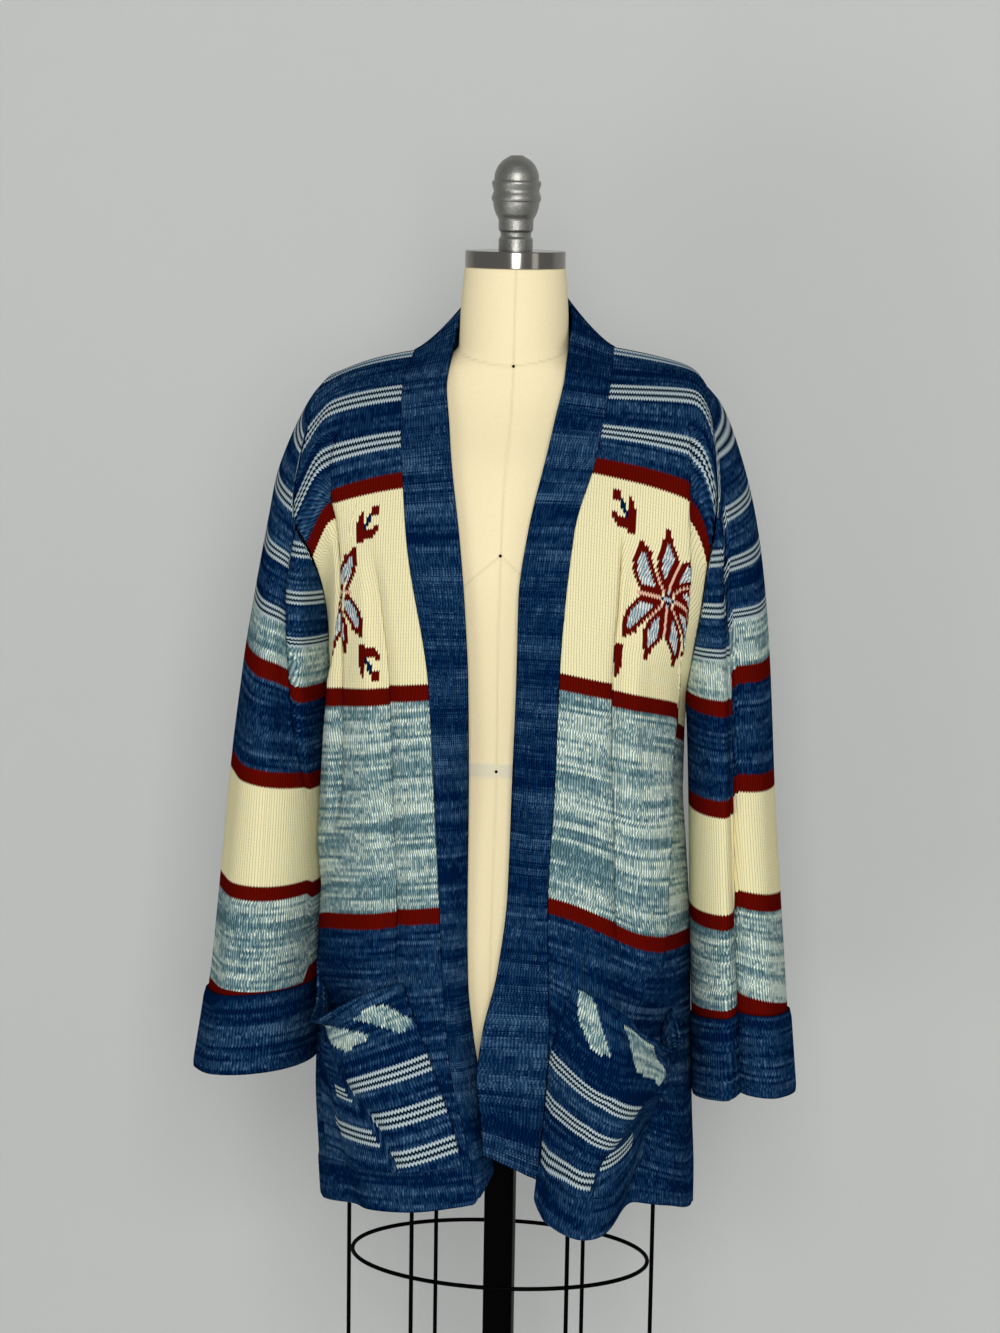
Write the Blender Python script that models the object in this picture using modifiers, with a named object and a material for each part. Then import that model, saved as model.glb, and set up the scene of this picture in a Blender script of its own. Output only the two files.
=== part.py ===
"""Open-front fair isle cardigan worn by a limbless dress form on a stand.

Metres, +Z up.  The origin is on the floor under the stand's pole.  The garment's front faces -Y, so the
wearer's left is at +X.  Every knitted piece is one wall of cloth: a surface worked out from the tables
below, given its thickness with Solidify.
"""

import math

import bpy
import bmesh
from mathutils import Vector

# ---------------------------------------------------------------- driving sizes
CLOTH = 0.0026            # plain knit wall
BAND_CLOTH = 0.0040       # front band, knitted double
SEAM_GAP = 0.0003         # between pieces that are sewn together or touch
WIDEST_PULL = 0.0030      # the most that a piece is cut back where two walls meet in a fold
UNDERARM_ROOM = 0.0036    # between the middles of body and sleeve where they hang side by side

GARMENT_LENGTH = 0.806    # shoulder seam to hem, along the front band's seam
BAND_LENGTH = 0.790       # shoulder seam to the band's lower end
TIP_Z = 1.404             # shoulder tip
UNDERARM_Z = {"right": 1.125, "left": 1.090}
NECK_BACK_Y = 0.064
NECK_BACK_Z = 1.428

TORSO_FOOT_Z = 0.705
NECK_TOP_Z = 1.505
CAP_RADIUS = 0.0456
CAP_HEIGHT = 0.015
POLE_SIDE = 0.028
FOOT_RADIUS = 0.190
FOOT_HEIGHT = 0.024
WIRE_RADIUS = 0.002
RING_WIDTH = 0.1422       # half-axes of the cage's rings
RING_DEPTH = 0.0865
RING_HEIGHTS = {"upper": 0.566, "lower": 0.400}


def table(columns, *rows):
    """Rows of numbers under named columns."""
    names = columns.split()
    return [dict(zip(names, row)) for row in rows]


# Each front by rows of its cloth, by distance below the shoulder seam: the band's seam (x away from the
# centre, y, z), the height at which the row reaches the turn of the shoulder, and the height at which
# it reaches the armhole or the side seam.
FRONTS = {
    "right": table(
        "run     seam_x   seam_y   seam_z   knee_z   edge_z",
        (0.000, 0.0905, 0.000, 1.4280, 1.4110, TIP_Z),
        (0.052, 0.0945, -0.042, 1.3995, 1.3835, 1.3590),
        (0.092, 0.0920, -0.067, 1.3625, 1.3440, 1.2955),
        (0.131, 0.0875, -0.085, 1.3280, 1.3020, 1.2580),
        (0.200, 0.0795, -0.105, 1.2625, 1.2440, 1.2030),
        (0.322, 0.0566, -0.123, 1.1425, 1.1235, 1.1060),
        (0.430, 0.0495, -0.125, 1.0360, 1.0130, 0.9960),
        (0.526, 0.0434, -0.1275, 0.9405, 0.9175, 0.8940),
        (0.600, 0.0390, -0.129, 0.8670, 0.8440, 0.8230),
        (0.650, 0.0345, -0.130, 0.8185, 0.7950, 0.7750),
        (0.690, 0.0290, -0.132, 0.7795, 0.7560, 0.7360),
        (0.740, 0.0165, -0.134, 0.7310, 0.7080, 0.6880),
        (GARMENT_LENGTH, 0.0045, -0.134, 0.6670, 0.6430, 0.6260),
    ),
    "left": table(
        "run     seam_x   seam_y   seam_z   knee_z   edge_z",
        (0.000, 0.0908, 0.000, 1.4350, 1.4190, TIP_Z),
        (0.052, 0.0920, -0.042, 1.4045, 1.4030, 1.3700),
        (0.092, 0.0885, -0.065, 1.3725, 1.3640, 1.3095),
        (0.131, 0.0853, -0.081, 1.3440, 1.3220, 1.2640),
        (0.200, 0.0690, -0.105, 1.2770, 1.2520, 1.2000),
        (0.322, 0.0605, -0.122, 1.1540, 1.1240, 1.0880),
        (0.430, 0.0580, -0.125, 1.0495, 1.0180, 0.9860),
        (0.526, 0.0540, -0.1255, 0.9540, 0.9180, 0.8985),
        (0.600, 0.0556, -0.126, 0.8815, 0.8420, 0.8260),
        (0.660, 0.0576, -0.125, 0.8225, 0.7850, 0.7680),
        (0.700, 0.0558, -0.122, 0.7840, 0.7480, 0.7300),
        (0.755, 0.0514, -0.116, 0.7290, 0.6980, 0.6800),
        (GARMENT_LENGTH, 0.0470, -0.110, 0.6620, 0.6620, 0.6340),
    ),
}
KNEE = 0.66               # how far across a front the turn of the shoulder lies

# The free edge of the band beside each front: x away from the centre, y, its rise over the seam, and
# how far the band rounds outwards between the two.
BAND_EDGES = {
    "right": table(
        "run     x        y       rise    round",
        (0.000, 0.0522, -0.004, 0.017, 0.000),
        (0.052, 0.0534, -0.052, 0.008, 0.001),
        (0.092, 0.0480, -0.073, 0.008, 0.001),
        (0.131, 0.0425, -0.091, 0.006, 0.001),
        (0.200, 0.0315, -0.1095, 0.003, 0.001),
        (0.260, 0.0253, -0.1165, 0.000, 0.001),
        (0.322, 0.0230, -0.1130, 0.000, 0.003),
        (0.430, 0.0223, -0.1070, 0.000, 0.005),
        (0.526, 0.0218, -0.1100, 0.000, 0.005),
        (0.600, 0.0200, -0.1120, 0.000, 0.005),
        (0.650, 0.0148, -0.1110, 0.000, 0.006),
        (0.690, 0.0088, -0.1100, 0.000, 0.007),
        (0.740, 0.0010, -0.1080, 0.000, 0.008),
        (BAND_LENGTH, -0.0050, -0.1050, 0.000, 0.008),
    ),
    "left": table(
        "run     x        y       rise    round",
        (0.000, 0.0520, -0.002, 0.016, 0.000),
        (0.052, 0.0525, -0.055, 0.007, 0.001),
        (0.092, 0.0475, -0.078, 0.005, 0.001),
        (0.131, 0.0425, -0.090, 0.003, 0.001),
        (0.200, 0.0290, -0.1080, 0.000, 0.001),
        (0.260, 0.0225, -0.1170, 0.000, 0.001),
        (0.322, 0.0222, -0.1160, 0.000, 0.002),
        (0.430, 0.0195, -0.1120, 0.000, 0.004),
        (0.526, 0.0178, -0.1180, 0.000, 0.003),
        (0.600, 0.0098, -0.1230, 0.000, 0.001),
        (0.660, -0.0030, -0.1310, 0.000, 0.000),
        (0.700, -0.0062, -0.1370, 0.004, 0.000),
        (0.755, -0.0020, -0.1400, 0.020, 0.000),
        (BAND_LENGTH, 0.0010, -0.1400, 0.031, 0.000),
    ),
}

# The back: the centre line by its cloth's distance below the neck, and where a row reaches the edge.
BACK = table(
    "run     y       z       edge_z",
    (0.000, NECK_BACK_Y, NECK_BACK_Z, TIP_Z),
    (0.050, 0.088, 1.388, 1.350),
    (0.120, 0.110, 1.322, 1.270),
    (0.220, 0.120, 1.222, 1.190),
    (0.340, 0.119, 1.102, 1.075),
    (0.500, 0.119, 0.944, 0.924),
    (0.650, 0.122, 0.794, 0.776),
    (0.798, 0.125, 0.648, 0.630),
)
BACK_LENGTH = BACK[-1]["run"]
NECK_SHARE = 0.5          # share of the back's half width that is neck, at its top

# The side seams below the underarms.
SIDES = {
    "right": table(
        "z       x",
        (UNDERARM_Z["right"], 0.1600),
        (1.060, 0.1650),
        (0.940, 0.1705),
        (0.840, 0.1752),
        (0.740, 0.1780),
        (0.620, 0.1740),
    ),
    "left": table(
        "z       x",
        (UNDERARM_Z["left"], 0.1630),
        (1.030, 0.1630),
        (0.985, 0.1665),
        (0.900, 0.1730),
        (0.800, 0.1765),
        (0.720, 0.1795),
        (0.620, 0.1815),
    ),
}

# Each sleeve as ovals by height: outermost and innermost x, half depth, and the angle, from straight
# out towards the front, at which the armhole crosses the oval.  The cuff goes on from the last rows.
SLEEVES = {
    "right": table(
        "z        outer    inner    depth    armhole",
        (TIP_Z, 0.1680, 0.1500, 0.030, 0.0),
        (1.385, 0.1840, 0.1500, 0.038, 55.0),
        (1.350, 0.2020, 0.1500, 0.052, 74.0),
        (1.310, 0.2165, 0.1500, 0.060, 78.0),
        (1.280, 0.2220, 0.1515, 0.065, 84.0),
        (1.250, 0.2275, 0.1540, 0.068, 116.0),
        (1.200, 0.2365, 0.1575, 0.070, 154.0),
        (1.150, 0.2450, 0.1610, 0.072, 172.0),
        (UNDERARM_Z["right"], 0.2485, 0.1640, 0.074, 180.0),
        (1.060, 0.2569, 0.1695, 0.077, 180.0),
        (0.940, 0.2690, 0.1745, 0.076, 180.0),
        (0.840, 0.2795, 0.1793, 0.073, 180.0),
        (0.740, 0.2950, 0.1822, 0.070, 180.0),
    ),
    "left": table(
        "z        outer    inner    depth    armhole",
        (TIP_Z, 0.1730, 0.1500, 0.030, 0.0),
        (1.385, 0.1890, 0.1500, 0.038, 55.0),
        (1.350, 0.2040, 0.1500, 0.052, 68.0),
        (1.310, 0.2165, 0.1500, 0.060, 76.0),
        (1.280, 0.2235, 0.1515, 0.065, 85.0),
        (1.250, 0.2288, 0.1540, 0.068, 98.0),
        (1.200, 0.2352, 0.1580, 0.070, 116.0),
        (1.150, 0.2398, 0.1625, 0.072, 140.0),
        (UNDERARM_Z["left"], 0.2440, 0.1675, 0.075, 180.0),
        (1.030, 0.2480, 0.1705, 0.077, 180.0),
        (0.940, 0.2558, 0.1740, 0.076, 180.0),
        (0.840, 0.2648, 0.1790, 0.073, 180.0),
        (0.740, 0.2745, 0.1835, 0.070, 180.0),
    ),
}

# The lower edge of each cuff: its height outside, at the body, and its extra rise in front.
CUFFS = {
    "right": {"outer": 0.7405, "inner": 0.7540, "front": 0.008},
    "left": {"outer": 0.7457, "inner": 0.7405, "front": 0.013},
}
CUFF_LENGTH = 0.078
POCKET_LIFT = 0.0028      # clear of the front, whose facets are coarser than its curves
CUFF_STEP = 0.0030        # how far a cuff stands outside its sleeve

# Folds of the fronts: place across (0 band, 1 edge) at their top and foot, the cloth distances between
# which they run, half widths towards the band and the edge, depth outwards, and how far the rows drop
# along them.
FRONT_FOLDS = {
    "right": table(
        "top   foot  start  end    inner  outer  depth   drop",
        (0.26, 0.20, 0.18, 0.66, 0.12, 0.10, -0.006, 0.000),
        (0.62, 0.60, 0.10, 0.46, 0.10, 0.08, -0.010, 0.000),
        (0.22, 0.20, 0.60, 1.00, 0.22, 0.40, 0.014, 0.000),
        (0.80, 0.46, 0.60, 1.00, 0.12, 0.26, -0.012, 0.000),
    ),
    "left": table(
        "top   foot  start  end    inner  outer  depth   drop",
        (0.32, 0.36, 0.18, 0.66, 0.12, 0.10, -0.006, 0.000),
        (0.27, 0.24, 0.58, 1.00, 0.26, 0.36, 0.036, 0.018),
        (0.84, 0.56, 0.60, 1.00, 0.16, 0.26, -0.012, 0.000),
    ),
}
FOLD_FADE = 0.07          # cloth distance over which a fold comes and goes

# Folds of the back, by place across from the wearer's right (-1) to left (1).
BACK_FOLDS = table(
    "top    foot   start  end    inner  outer  depth   drop",
    (-0.62, -0.70, 0.10, 0.60, 0.10, 0.10, -0.010, 0.0),
    (-0.20, -0.28, 0.30, 1.00, 0.16, 0.12, 0.009, 0.0),
    (0.34, 0.26, 0.34, 1.00, 0.12, 0.16, 0.008, 0.0),
    (0.66, 0.74, 0.12, 0.66, 0.10, 0.10, -0.009, 0.0),
)

# Creases of the sleeves: angle and depth outwards at top and foot, the heights between which they run,
# and half widths in degrees towards the outside and the body.
SLEEVE_FOLDS = {
    "right": table(
        "top    foot   start  end    outer  inner  depth_top  depth_foot",
        (84.0, 128.0, 1.30, 1.02, 44.0, 20.0, -0.010, -0.010),
        (250.0, 262.0, 1.24, 0.86, 20.0, 30.0, -0.010, -0.008),
        (40.0, 30.0, 1.16, 0.70, 30.0, 30.0, -0.003, -0.003),
    ),
    "left": table(
        "top    foot   start  end    outer  inner  depth_top  depth_foot",
        (72.0, 94.0, 1.28, 0.60, 46.0, 16.0, -0.012, -0.034),
        (258.0, 248.0, 1.22, 0.84, 24.0, 26.0, -0.011, -0.009),
        (315.0, 325.0, 1.18, 0.80, 26.0, 26.0, -0.005, -0.004),
    ),
}

# Patch pockets on the fronts: places across and cloth distances of their corners, and the sagging lip.
POCKETS = {
    "right": {"inner_top": 0.150, "inner_foot": 0.025, "outer_top": 0.82, "outer_foot": 0.70,
              "mouth_inner": 0.600, "mouth_outer": 0.622, "foot": 0.768,
              "sag": 0.018, "sag_at": 0.80, "sag_width": 0.44},
    "left": {"inner_top": 0.100, "inner_foot": 0.020, "outer_top": 0.76, "outer_foot": 0.48,
             "mouth_inner": 0.606, "mouth_outer": 0.618, "foot": 0.772,
             "sag": 0.020, "sag_at": 0.72, "sag_width": 0.46},
}

# The form's trunk as ovals, and its cast finial as a turned profile above the neck cap.
TORSO = table(
    "z       width    depth",
    (TORSO_FOOT_Z, 0.1500, 0.0960),
    (0.780, 0.1530, 0.1010),
    (0.860, 0.1540, 0.1020),
    (0.960, 0.1380, 0.0960),
    (1.058, 0.1150, 0.0880),
    (1.150, 0.1280, 0.0960),
    (1.240, 0.1400, 0.1030),
    (1.290, 0.1450, 0.0950),
    (1.330, 0.1470, 0.0830),
    (1.370, 0.1470, 0.0620),
    (1.388, 0.1380, 0.0540),
    (1.402, 0.1160, 0.0500),
    (1.415, 0.0820, 0.0480),
    (1.426, 0.0570, 0.0480),
    (1.436, 0.0500, 0.0490),
    (1.466, 0.0488, 0.0488),
    (1.482, 0.0478, 0.0478),
    (NECK_TOP_Z, CAP_RADIUS, CAP_RADIUS),
)
FINIAL = table(
    "height   radius",
    (0.0000, 0.0155),
    (0.0100, 0.0155),
    (0.0140, 0.0137),
    (0.0187, 0.0156),
    (0.0274, 0.0158),
    (0.0340, 0.0189),
    (0.0410, 0.0207),
    (0.0450, 0.0211),
    (0.0456, 0.0223),
    (0.0504, 0.0223),
    (0.0550, 0.0203),
    (0.0598, 0.0223),
    (0.0642, 0.0223),
    (0.0648, 0.0204),
    (0.0700, 0.0198),
    (0.0770, 0.0171),
    (0.0820, 0.0130),
    (0.0855, 0.0079),
    (0.0870, 0.0054),
)

# How finely each piece is divided.
FRONT_COLUMNS, FRONT_ROWS = 15, 22
BACK_COLUMNS, BACK_ROWS = 20, 20
SLEEVE_COLUMNS, SLEEVE_ROWS, CUFF_ROWS = 24, 12, 2
BAND_COLUMNS, NECK_ROWS = 2, 10
POCKET_COLUMNS, POCKET_ROWS = 11, 9

COLOURS = {
    "marl_blue": ((0.020, 0.075, 0.190), 0.95, 0.0),
    "cream": ((0.800, 0.740, 0.520), 0.95, 0.0),
    "canvas": ((0.790, 0.740, 0.560), 0.85, 0.0),
    "steel": ((0.620, 0.610, 0.600), 0.25, 1.0),
    "silver": ((0.450, 0.450, 0.460), 0.35, 0.9),
    "black": ((0.012, 0.012, 0.013), 0.40, 0.5),
}


# ---------------------------------------------------------------- reading the tables
def slope(rows, key, name, index):
    """The slope of a column at one of its rows, kept flat at peaks so that a curve never overshoots."""
    def step(low):
        rise = rows[low + 1][name] - rows[low][name]
        return rise / (rows[low + 1][key] - rows[low][key])

    if index == 0:
        return step(0)
    if index == len(rows) - 1:
        return step(index - 1)
    before, after = step(index - 1), step(index)
    if before * after <= 0:
        return 0.0
    return 2 * before * after / (before + after)


def read(rows, key, at):
    """All the columns at one place along a table, on smooth curves through its rows."""
    if rows[0][key] > rows[-1][key]:
        rows = rows[::-1]
    at = min(max(at, rows[0][key]), rows[-1][key])
    low = max(i for i in range(len(rows) - 1) if rows[i][key] <= at)
    span = rows[low + 1][key] - rows[low][key]
    t = (at - rows[low][key]) / span
    values = {}
    for name in rows[low]:
        values[name] = (
            rows[low][name] * (1 + 2 * t) * (1 - t) ** 2
            + rows[low + 1][name] * t * t * (3 - 2 * t)
            + slope(rows, key, name, low) * span * t * (1 - t) ** 2
            - slope(rows, key, name, low + 1) * span * t * t * (1 - t)
        )
    return values


def ease(t):
    """0 to 1 with soft ends."""
    t = min(max(t, 0.0), 1.0)
    return t * t * (3 - 2 * t)


def bump(distance, before, after):
    """A soft bump, 1 at its middle and 0 at its half widths."""
    share = distance / (before if distance < 0 else after)
    return 0.5 + 0.5 * math.cos(math.pi * share) if abs(share) < 1 else 0.0


def between(start, end, share):
    return start + (end - start) * share


def bezier(p0, p1, p2, p3, t):
    return p0 * (1 - t) ** 3 + p1 * 3 * t * (1 - t) ** 2 + p2 * 3 * t * t * (1 - t) + p3 * t ** 3


def sign_of(side):
    """The wearer's left is at +X."""
    return 1.0 if side == "left" else -1.0


# ---------------------------------------------------------------- where the seams run
def oval_point(side, z, angle):
    """A point on a sleeve's plain oval; 0 is straight out, 90 is the front."""
    row = read(SLEEVES[side], "z", z)
    middle = (row["outer"] + row["inner"]) / 2
    half = (row["outer"] - row["inner"]) / 2
    turn = math.radians(angle)
    x = middle + half * math.cos(turn)
    return Vector((sign_of(side) * x, -row["depth"] * math.sin(turn), z))


def body_edge(side, z, face):
    """The edge of the body at a height: the armhole above the underarm and the side seam below it."""
    if z > UNDERARM_Z[side]:
        angle = read(SLEEVES[side], "z", z)["armhole"]
        share = ease((z - UNDERARM_Z[side]) / 0.03)
        point = oval_point(side, z, angle if face == "front" else -angle)
        # low down both walls turn back side by side, so they need room for their thickness
        x = abs(point.x) - UNDERARM_ROOM * ease((angle - 45) / 60)
        point.x = sign_of(side) * between(SIDES[side][0]["x"], x, share)
        return point
    return Vector((sign_of(side) * read(SIDES[side], "z", z)["x"], 0.0, z))


def armhole_height(side, angle):
    """The height at which a column of the sleeve starts, by its angle from straight out."""
    low, high = UNDERARM_Z[side], TIP_Z
    for _ in range(40):
        middle = (low + high) / 2
        if read(SLEEVES[side], "z", middle)["armhole"] > angle:
            low = middle
        else:
            high = middle
    return (low + high) / 2


def cuff_edge(side, angle):
    """The height of a cuff's lower edge at an angle from straight out."""
    sizes = CUFFS[side]
    turn = math.radians(angle)
    return between(sizes["outer"], sizes["inner"], (1 - math.cos(turn)) / 2) + sizes["front"] * math.sin(turn)


# ---------------------------------------------------------------- surfaces of the cloth
def fold_effect(folds, across, share):
    """Depth outwards and drop of all folds at one place of a panel."""
    depth, drop = 0.0, 0.0
    run = share * GARMENT_LENGTH
    for fold in folds:
        fade = ease((run - fold["start"]) / FOLD_FADE)
        if fold["end"] < 0.99:
            fade *= ease((fold["end"] - run) / FOLD_FADE)
        along = (run - fold["start"]) / (min(fold["end"], GARMENT_LENGTH) - fold["start"])
        offset = across - between(fold["top"], fold["foot"], min(max(along, 0.0), 1.0))
        amount = fade * bump(offset, fold["inner"], fold["outer"])
        depth += fold["depth"] * amount
        drop += fold["drop"] * amount
    return depth, drop


def plan_curve(side, seam, edge, lead, across):
    """A row of a front seen from above, with the way out from the body."""
    step = edge - seam
    near = seam + Vector((0.62 * step.x, 0.02 * step.y, 0))
    far = edge - Vector((lead * step.x, 0.64 * step.y, 0))
    point = bezier(seam, near, far, edge, across)
    ahead = bezier(seam, near, far, edge, min(across + 0.01, 1.0))
    behind = bezier(seam, near, far, edge, max(across - 0.01, 0.0))
    way = ahead - behind
    out = Vector((way.y, -way.x, 0)) * sign_of(side)
    return point, out.normalized()


def front_point(side, across, run):
    """A point of a front: across from the band's seam (0) to the edge (1), run down from the shoulder."""
    row = read(FRONTS[side], "run", run)
    seam = Vector((sign_of(side) * row["seam_x"], row["seam_y"], 0))
    edge = body_edge(side, row["edge_z"], "front")
    edge.z = 0
    lead = 0.22 * ease((row["edge_z"] - 1.1) / 0.15)
    point, out = plan_curve(side, seam, edge, lead, across)
    depth, drop = fold_effect(FRONT_FOLDS[side], across, run / GARMENT_LENGTH)
    hold = ease(across / 0.05) * (1 - ease((across - 0.88) / 0.12))
    point += out * depth * hold
    # rows fall gently as far as the knee and faster beyond it
    past = across - KNEE
    past = (past + math.hypot(past, 0.08) - math.hypot(KNEE, 0.08) + KNEE) / 2
    most = (1 - KNEE + math.hypot(1 - KNEE, 0.08) - math.hypot(KNEE, 0.08) + KNEE) / 2
    first = (row["seam_z"] - row["knee_z"]) / KNEE
    second = row["seam_z"] - first - row["edge_z"]
    point.z = row["seam_z"] - first * across - second * past / most - drop * hold
    return point


def back_top(across):
    """The back's top edge: shoulder seams outside, and the neck curve between them."""
    side = "left" if across >= 0 else "right"
    place = abs(across)
    if place >= NECK_SHARE:
        share = (place - NECK_SHARE) / (1 - NECK_SHARE)
        tip = body_edge(side, TIP_Z, "back")
        neck = front_point(side, 0.0, 0.0)
        return neck.lerp(tip, share)
    turn = math.pi / 2 * place / NECK_SHARE
    neck = front_point(side, 0.0, 0.0)
    rise = between(NECK_BACK_Z, neck.z, 1 - math.cos(turn))
    return Vector((neck.x * math.sin(turn), NECK_BACK_Y * math.cos(turn), rise))


def back_point(across, run):
    """A point of the back: across from the wearer's right (-1) to left (1), run down from the top."""
    side = "left" if across >= 0 else "right"
    place = abs(across)
    row = read(BACK, "run", run)
    edge = body_edge(side, row["edge_z"], "back")
    centre = Vector((0, row["y"], 0))
    flat_edge = Vector((edge.x, edge.y, 0))
    near = Vector((0.58 * edge.x, row["y"], 0))
    far = Vector((edge.x, between(edge.y, row["y"], 0.56), 0))
    point = bezier(centre, near, far, flat_edge, place)
    depth, _ = fold_effect(BACK_FOLDS, across, run / BACK_LENGTH)
    out = Vector((point.x / 0.17, point.y / 0.12, 0)).normalized()
    point += out * depth * (1 - ease((place - 0.86) / 0.14))
    point.z = between(row["z"], edge.z, place ** 1.6)
    return back_top(across).lerp(point, ease(run / 0.075) ** 0.6 if run > 0 else 0.0)


def sleeve_point(side, angle, z):
    """A point of a sleeve or cuff at an angle from straight out, with its creases."""
    point = oval_point(side, z, angle)
    row = read(SLEEVES[side], "z", z)
    turn = math.radians(angle)
    half = (row["outer"] - row["inner"]) / 2
    out = Vector((sign_of(side) * math.cos(turn) / half, -math.sin(turn) / row["depth"], 0)).normalized()
    angle %= 360
    for fold in SLEEVE_FOLDS[side]:
        fade = ease((fold["start"] - z) / 0.06)
        if fold["end"] > 0.72:
            fade *= ease((z - fold["end"]) / 0.08)
        along = min(max((fold["start"] - z) / (fold["start"] - fold["end"]), 0.0), 1.0)
        offset = angle - between(fold["top"], fold["foot"], along)
        depth = between(fold["depth_top"], fold["depth_foot"], along)
        point += out * depth * fade * bump(offset, fold["outer"], fold["inner"])
    return point


def band_row(side, run):
    """Both ends of a row across the band: at the front's seam and at the free edge."""
    row = read(FRONTS[side], "run", run)
    free = read(BAND_EDGES[side], "run", run)
    seam = Vector((sign_of(side) * row["seam_x"], row["seam_y"], row["seam_z"]))
    edge = Vector((sign_of(side) * free["x"], free["y"], row["seam_z"] + free["rise"]))
    return seam, edge, free["round"]


def neck_row(turn):
    """A row across the band where it stands up round the back of the neck, by its turn from the wearer's
    right (-1) through the centre back (0) to the left (1)."""
    seam = back_top(turn * NECK_SHARE)
    angle = math.pi / 2 * turn
    side = "left" if turn >= 0 else "right"
    end = band_row(side, 0.0)[1]
    share = 1 - math.cos(angle)
    x = end.x * abs(math.sin(angle))
    edge = Vector((x, between(0.0600, end.y, share), between(1.474, end.z, share)))
    return seam, edge, 0.0


# ---------------------------------------------------------------- cutting pieces back at their seams
def seam_pull(into_one, into_other, wall=CLOTH):
    """How far each of two walls is cut back from their shared line to leave the seam gap between them."""
    half = max(into_one.angle(into_other, math.pi), 0.2) / 2
    pull = SEAM_GAP / math.sin(half) + wall / 2 / math.tan(half)
    return min(pull, WIDEST_PULL)


def spread(first, last, count):
    return [between(first, last, i / count) for i in range(count + 1)]


def edge_pull(side, z):
    """How far a body panel is cut back at the armhole or at the side seam."""
    if z < UNDERARM_Z[side] + 0.002:
        return SEAM_GAP / 2
    return 0.0016 + 0.0018 * ease((z - 1.26) / 0.05)


def front_grid(side):
    rows = []
    for share in spread(0.0, 1.0, FRONT_ROWS):
        run = share * GARMENT_LENGTH
        start = front_point(side, 0.0, run)
        end = front_point(side, 1.0, run)
        seam, free, _ = band_row(side, min(run, BAND_LENGTH))
        into_front = front_point(side, 0.03, run) - start
        first = 0.03 * seam_pull(into_front, free - seam, BAND_CLOTH) / into_front.length
        into_front = front_point(side, 0.97, run) - end
        z = read(FRONTS[side], "run", run)["edge_z"]
        last = 1 - 0.03 * edge_pull(side, z) / into_front.length
        rows.append([front_point(side, across, run) for across in spread(first, last, FRONT_COLUMNS)])
    # the shoulder seam, where the back begins
    for i, point in enumerate(rows[0]):
        way = (rows[1][i] - point).normalized()
        rows[0][i] = point + way * seam_pull(way, Vector((0, 0.75, -0.5)))
    return rows


def back_grid():
    rows = []
    for share in spread(0.0, 1.0, BACK_ROWS):
        run = BACK_LENGTH * share ** 1.2
        ends = []
        for hand in (-1, 1):
            side = "left" if hand > 0 else "right"
            z = read(BACK, "run", run)["edge_z"]
            into_back = back_point(hand * 0.97, run) - back_point(hand, run)
            ends.append(hand * (1 - 0.03 * edge_pull(side, z) / into_back.length))
        rows.append([back_point(across, run) for across in spread(ends[0], ends[1], BACK_COLUMNS)])
    for i, point in enumerate(rows[0]):
        way = (rows[1][i] - point).normalized()
        rows[0][i] = point + way * seam_pull(way, Vector((0, -0.75, -0.5)), BAND_CLOTH)
    return rows


def sleeve_grid(side):
    angles = [360.0 * i / SLEEVE_COLUMNS for i in range(SLEEVE_COLUMNS)]
    starts = [armhole_height(side, min(angle, 360 - angle)) for angle in angles]
    rows = []
    for share in spread(0.0, 1.0, SLEEVE_ROWS):
        ring = []
        for angle, top in zip(angles, starts):
            end = cuff_edge(side, angle) + CUFF_LENGTH + SEAM_GAP / 2
            ring.append(sleeve_point(side, angle, between(top, end, share)))
        rows.append(ring)
    # cut back from the armhole
    for i, point in enumerate(rows[0]):
        way = (rows[1][i] - point).normalized()
        rows[0][i] = point + way * 0.0012
    return rows


def cuff_grid(side):
    rows = []
    for share in spread(0.0, 1.0, CUFF_ROWS):
        ring = []
        for i in range(SLEEVE_COLUMNS):
            angle = 360.0 * i / SLEEVE_COLUMNS
            end = cuff_edge(side, angle)
            point = sleeve_point(side, angle, between(end + CUFF_LENGTH - SEAM_GAP / 2, end, share))
            turn = math.radians(angle)
            step = CUFF_STEP * (1 - 0.9 * bump(angle - 180, 60, 60))
            ring.append(point + Vector((sign_of(side) * math.cos(turn), -math.sin(turn), 0)) * step)
        rows.append(ring)
    return rows


def band_grid():
    """The whole band: up the wearer's right front, round the neck and down the left."""
    runs = [share * GARMENT_LENGTH for share in spread(1.0, 0.0, FRONT_ROWS)]
    runs = [BAND_LENGTH] + [run for run in runs if run < BAND_LENGTH - 0.01]
    rows = []

    def add(row, into_next):
        seam, edge, rounding = row
        way = edge - seam
        start = seam + way.normalized() * seam_pull(way, into_next, BAND_CLOTH)
        out = Vector((0, -1, 0))
        rows.append([start.lerp(edge, share) + out * rounding * math.sin(math.pi * share)
                     for share in spread(0.0, 1.0, BAND_COLUMNS)])

    for run in runs:
        add(band_row("right", run), front_point("right", 0.03, run) - front_point("right", 0.0, run))
    for turn in spread(-1.0, 1.0, NECK_ROWS)[1:-1]:
        across = turn * NECK_SHARE
        add(neck_row(turn), back_point(across, 0.03) - back_point(across, 0.0))
    for run in reversed(runs):
        add(band_row("left", run), front_point("left", 0.03, run) - front_point("left", 0.0, run))
    return rows


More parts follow.
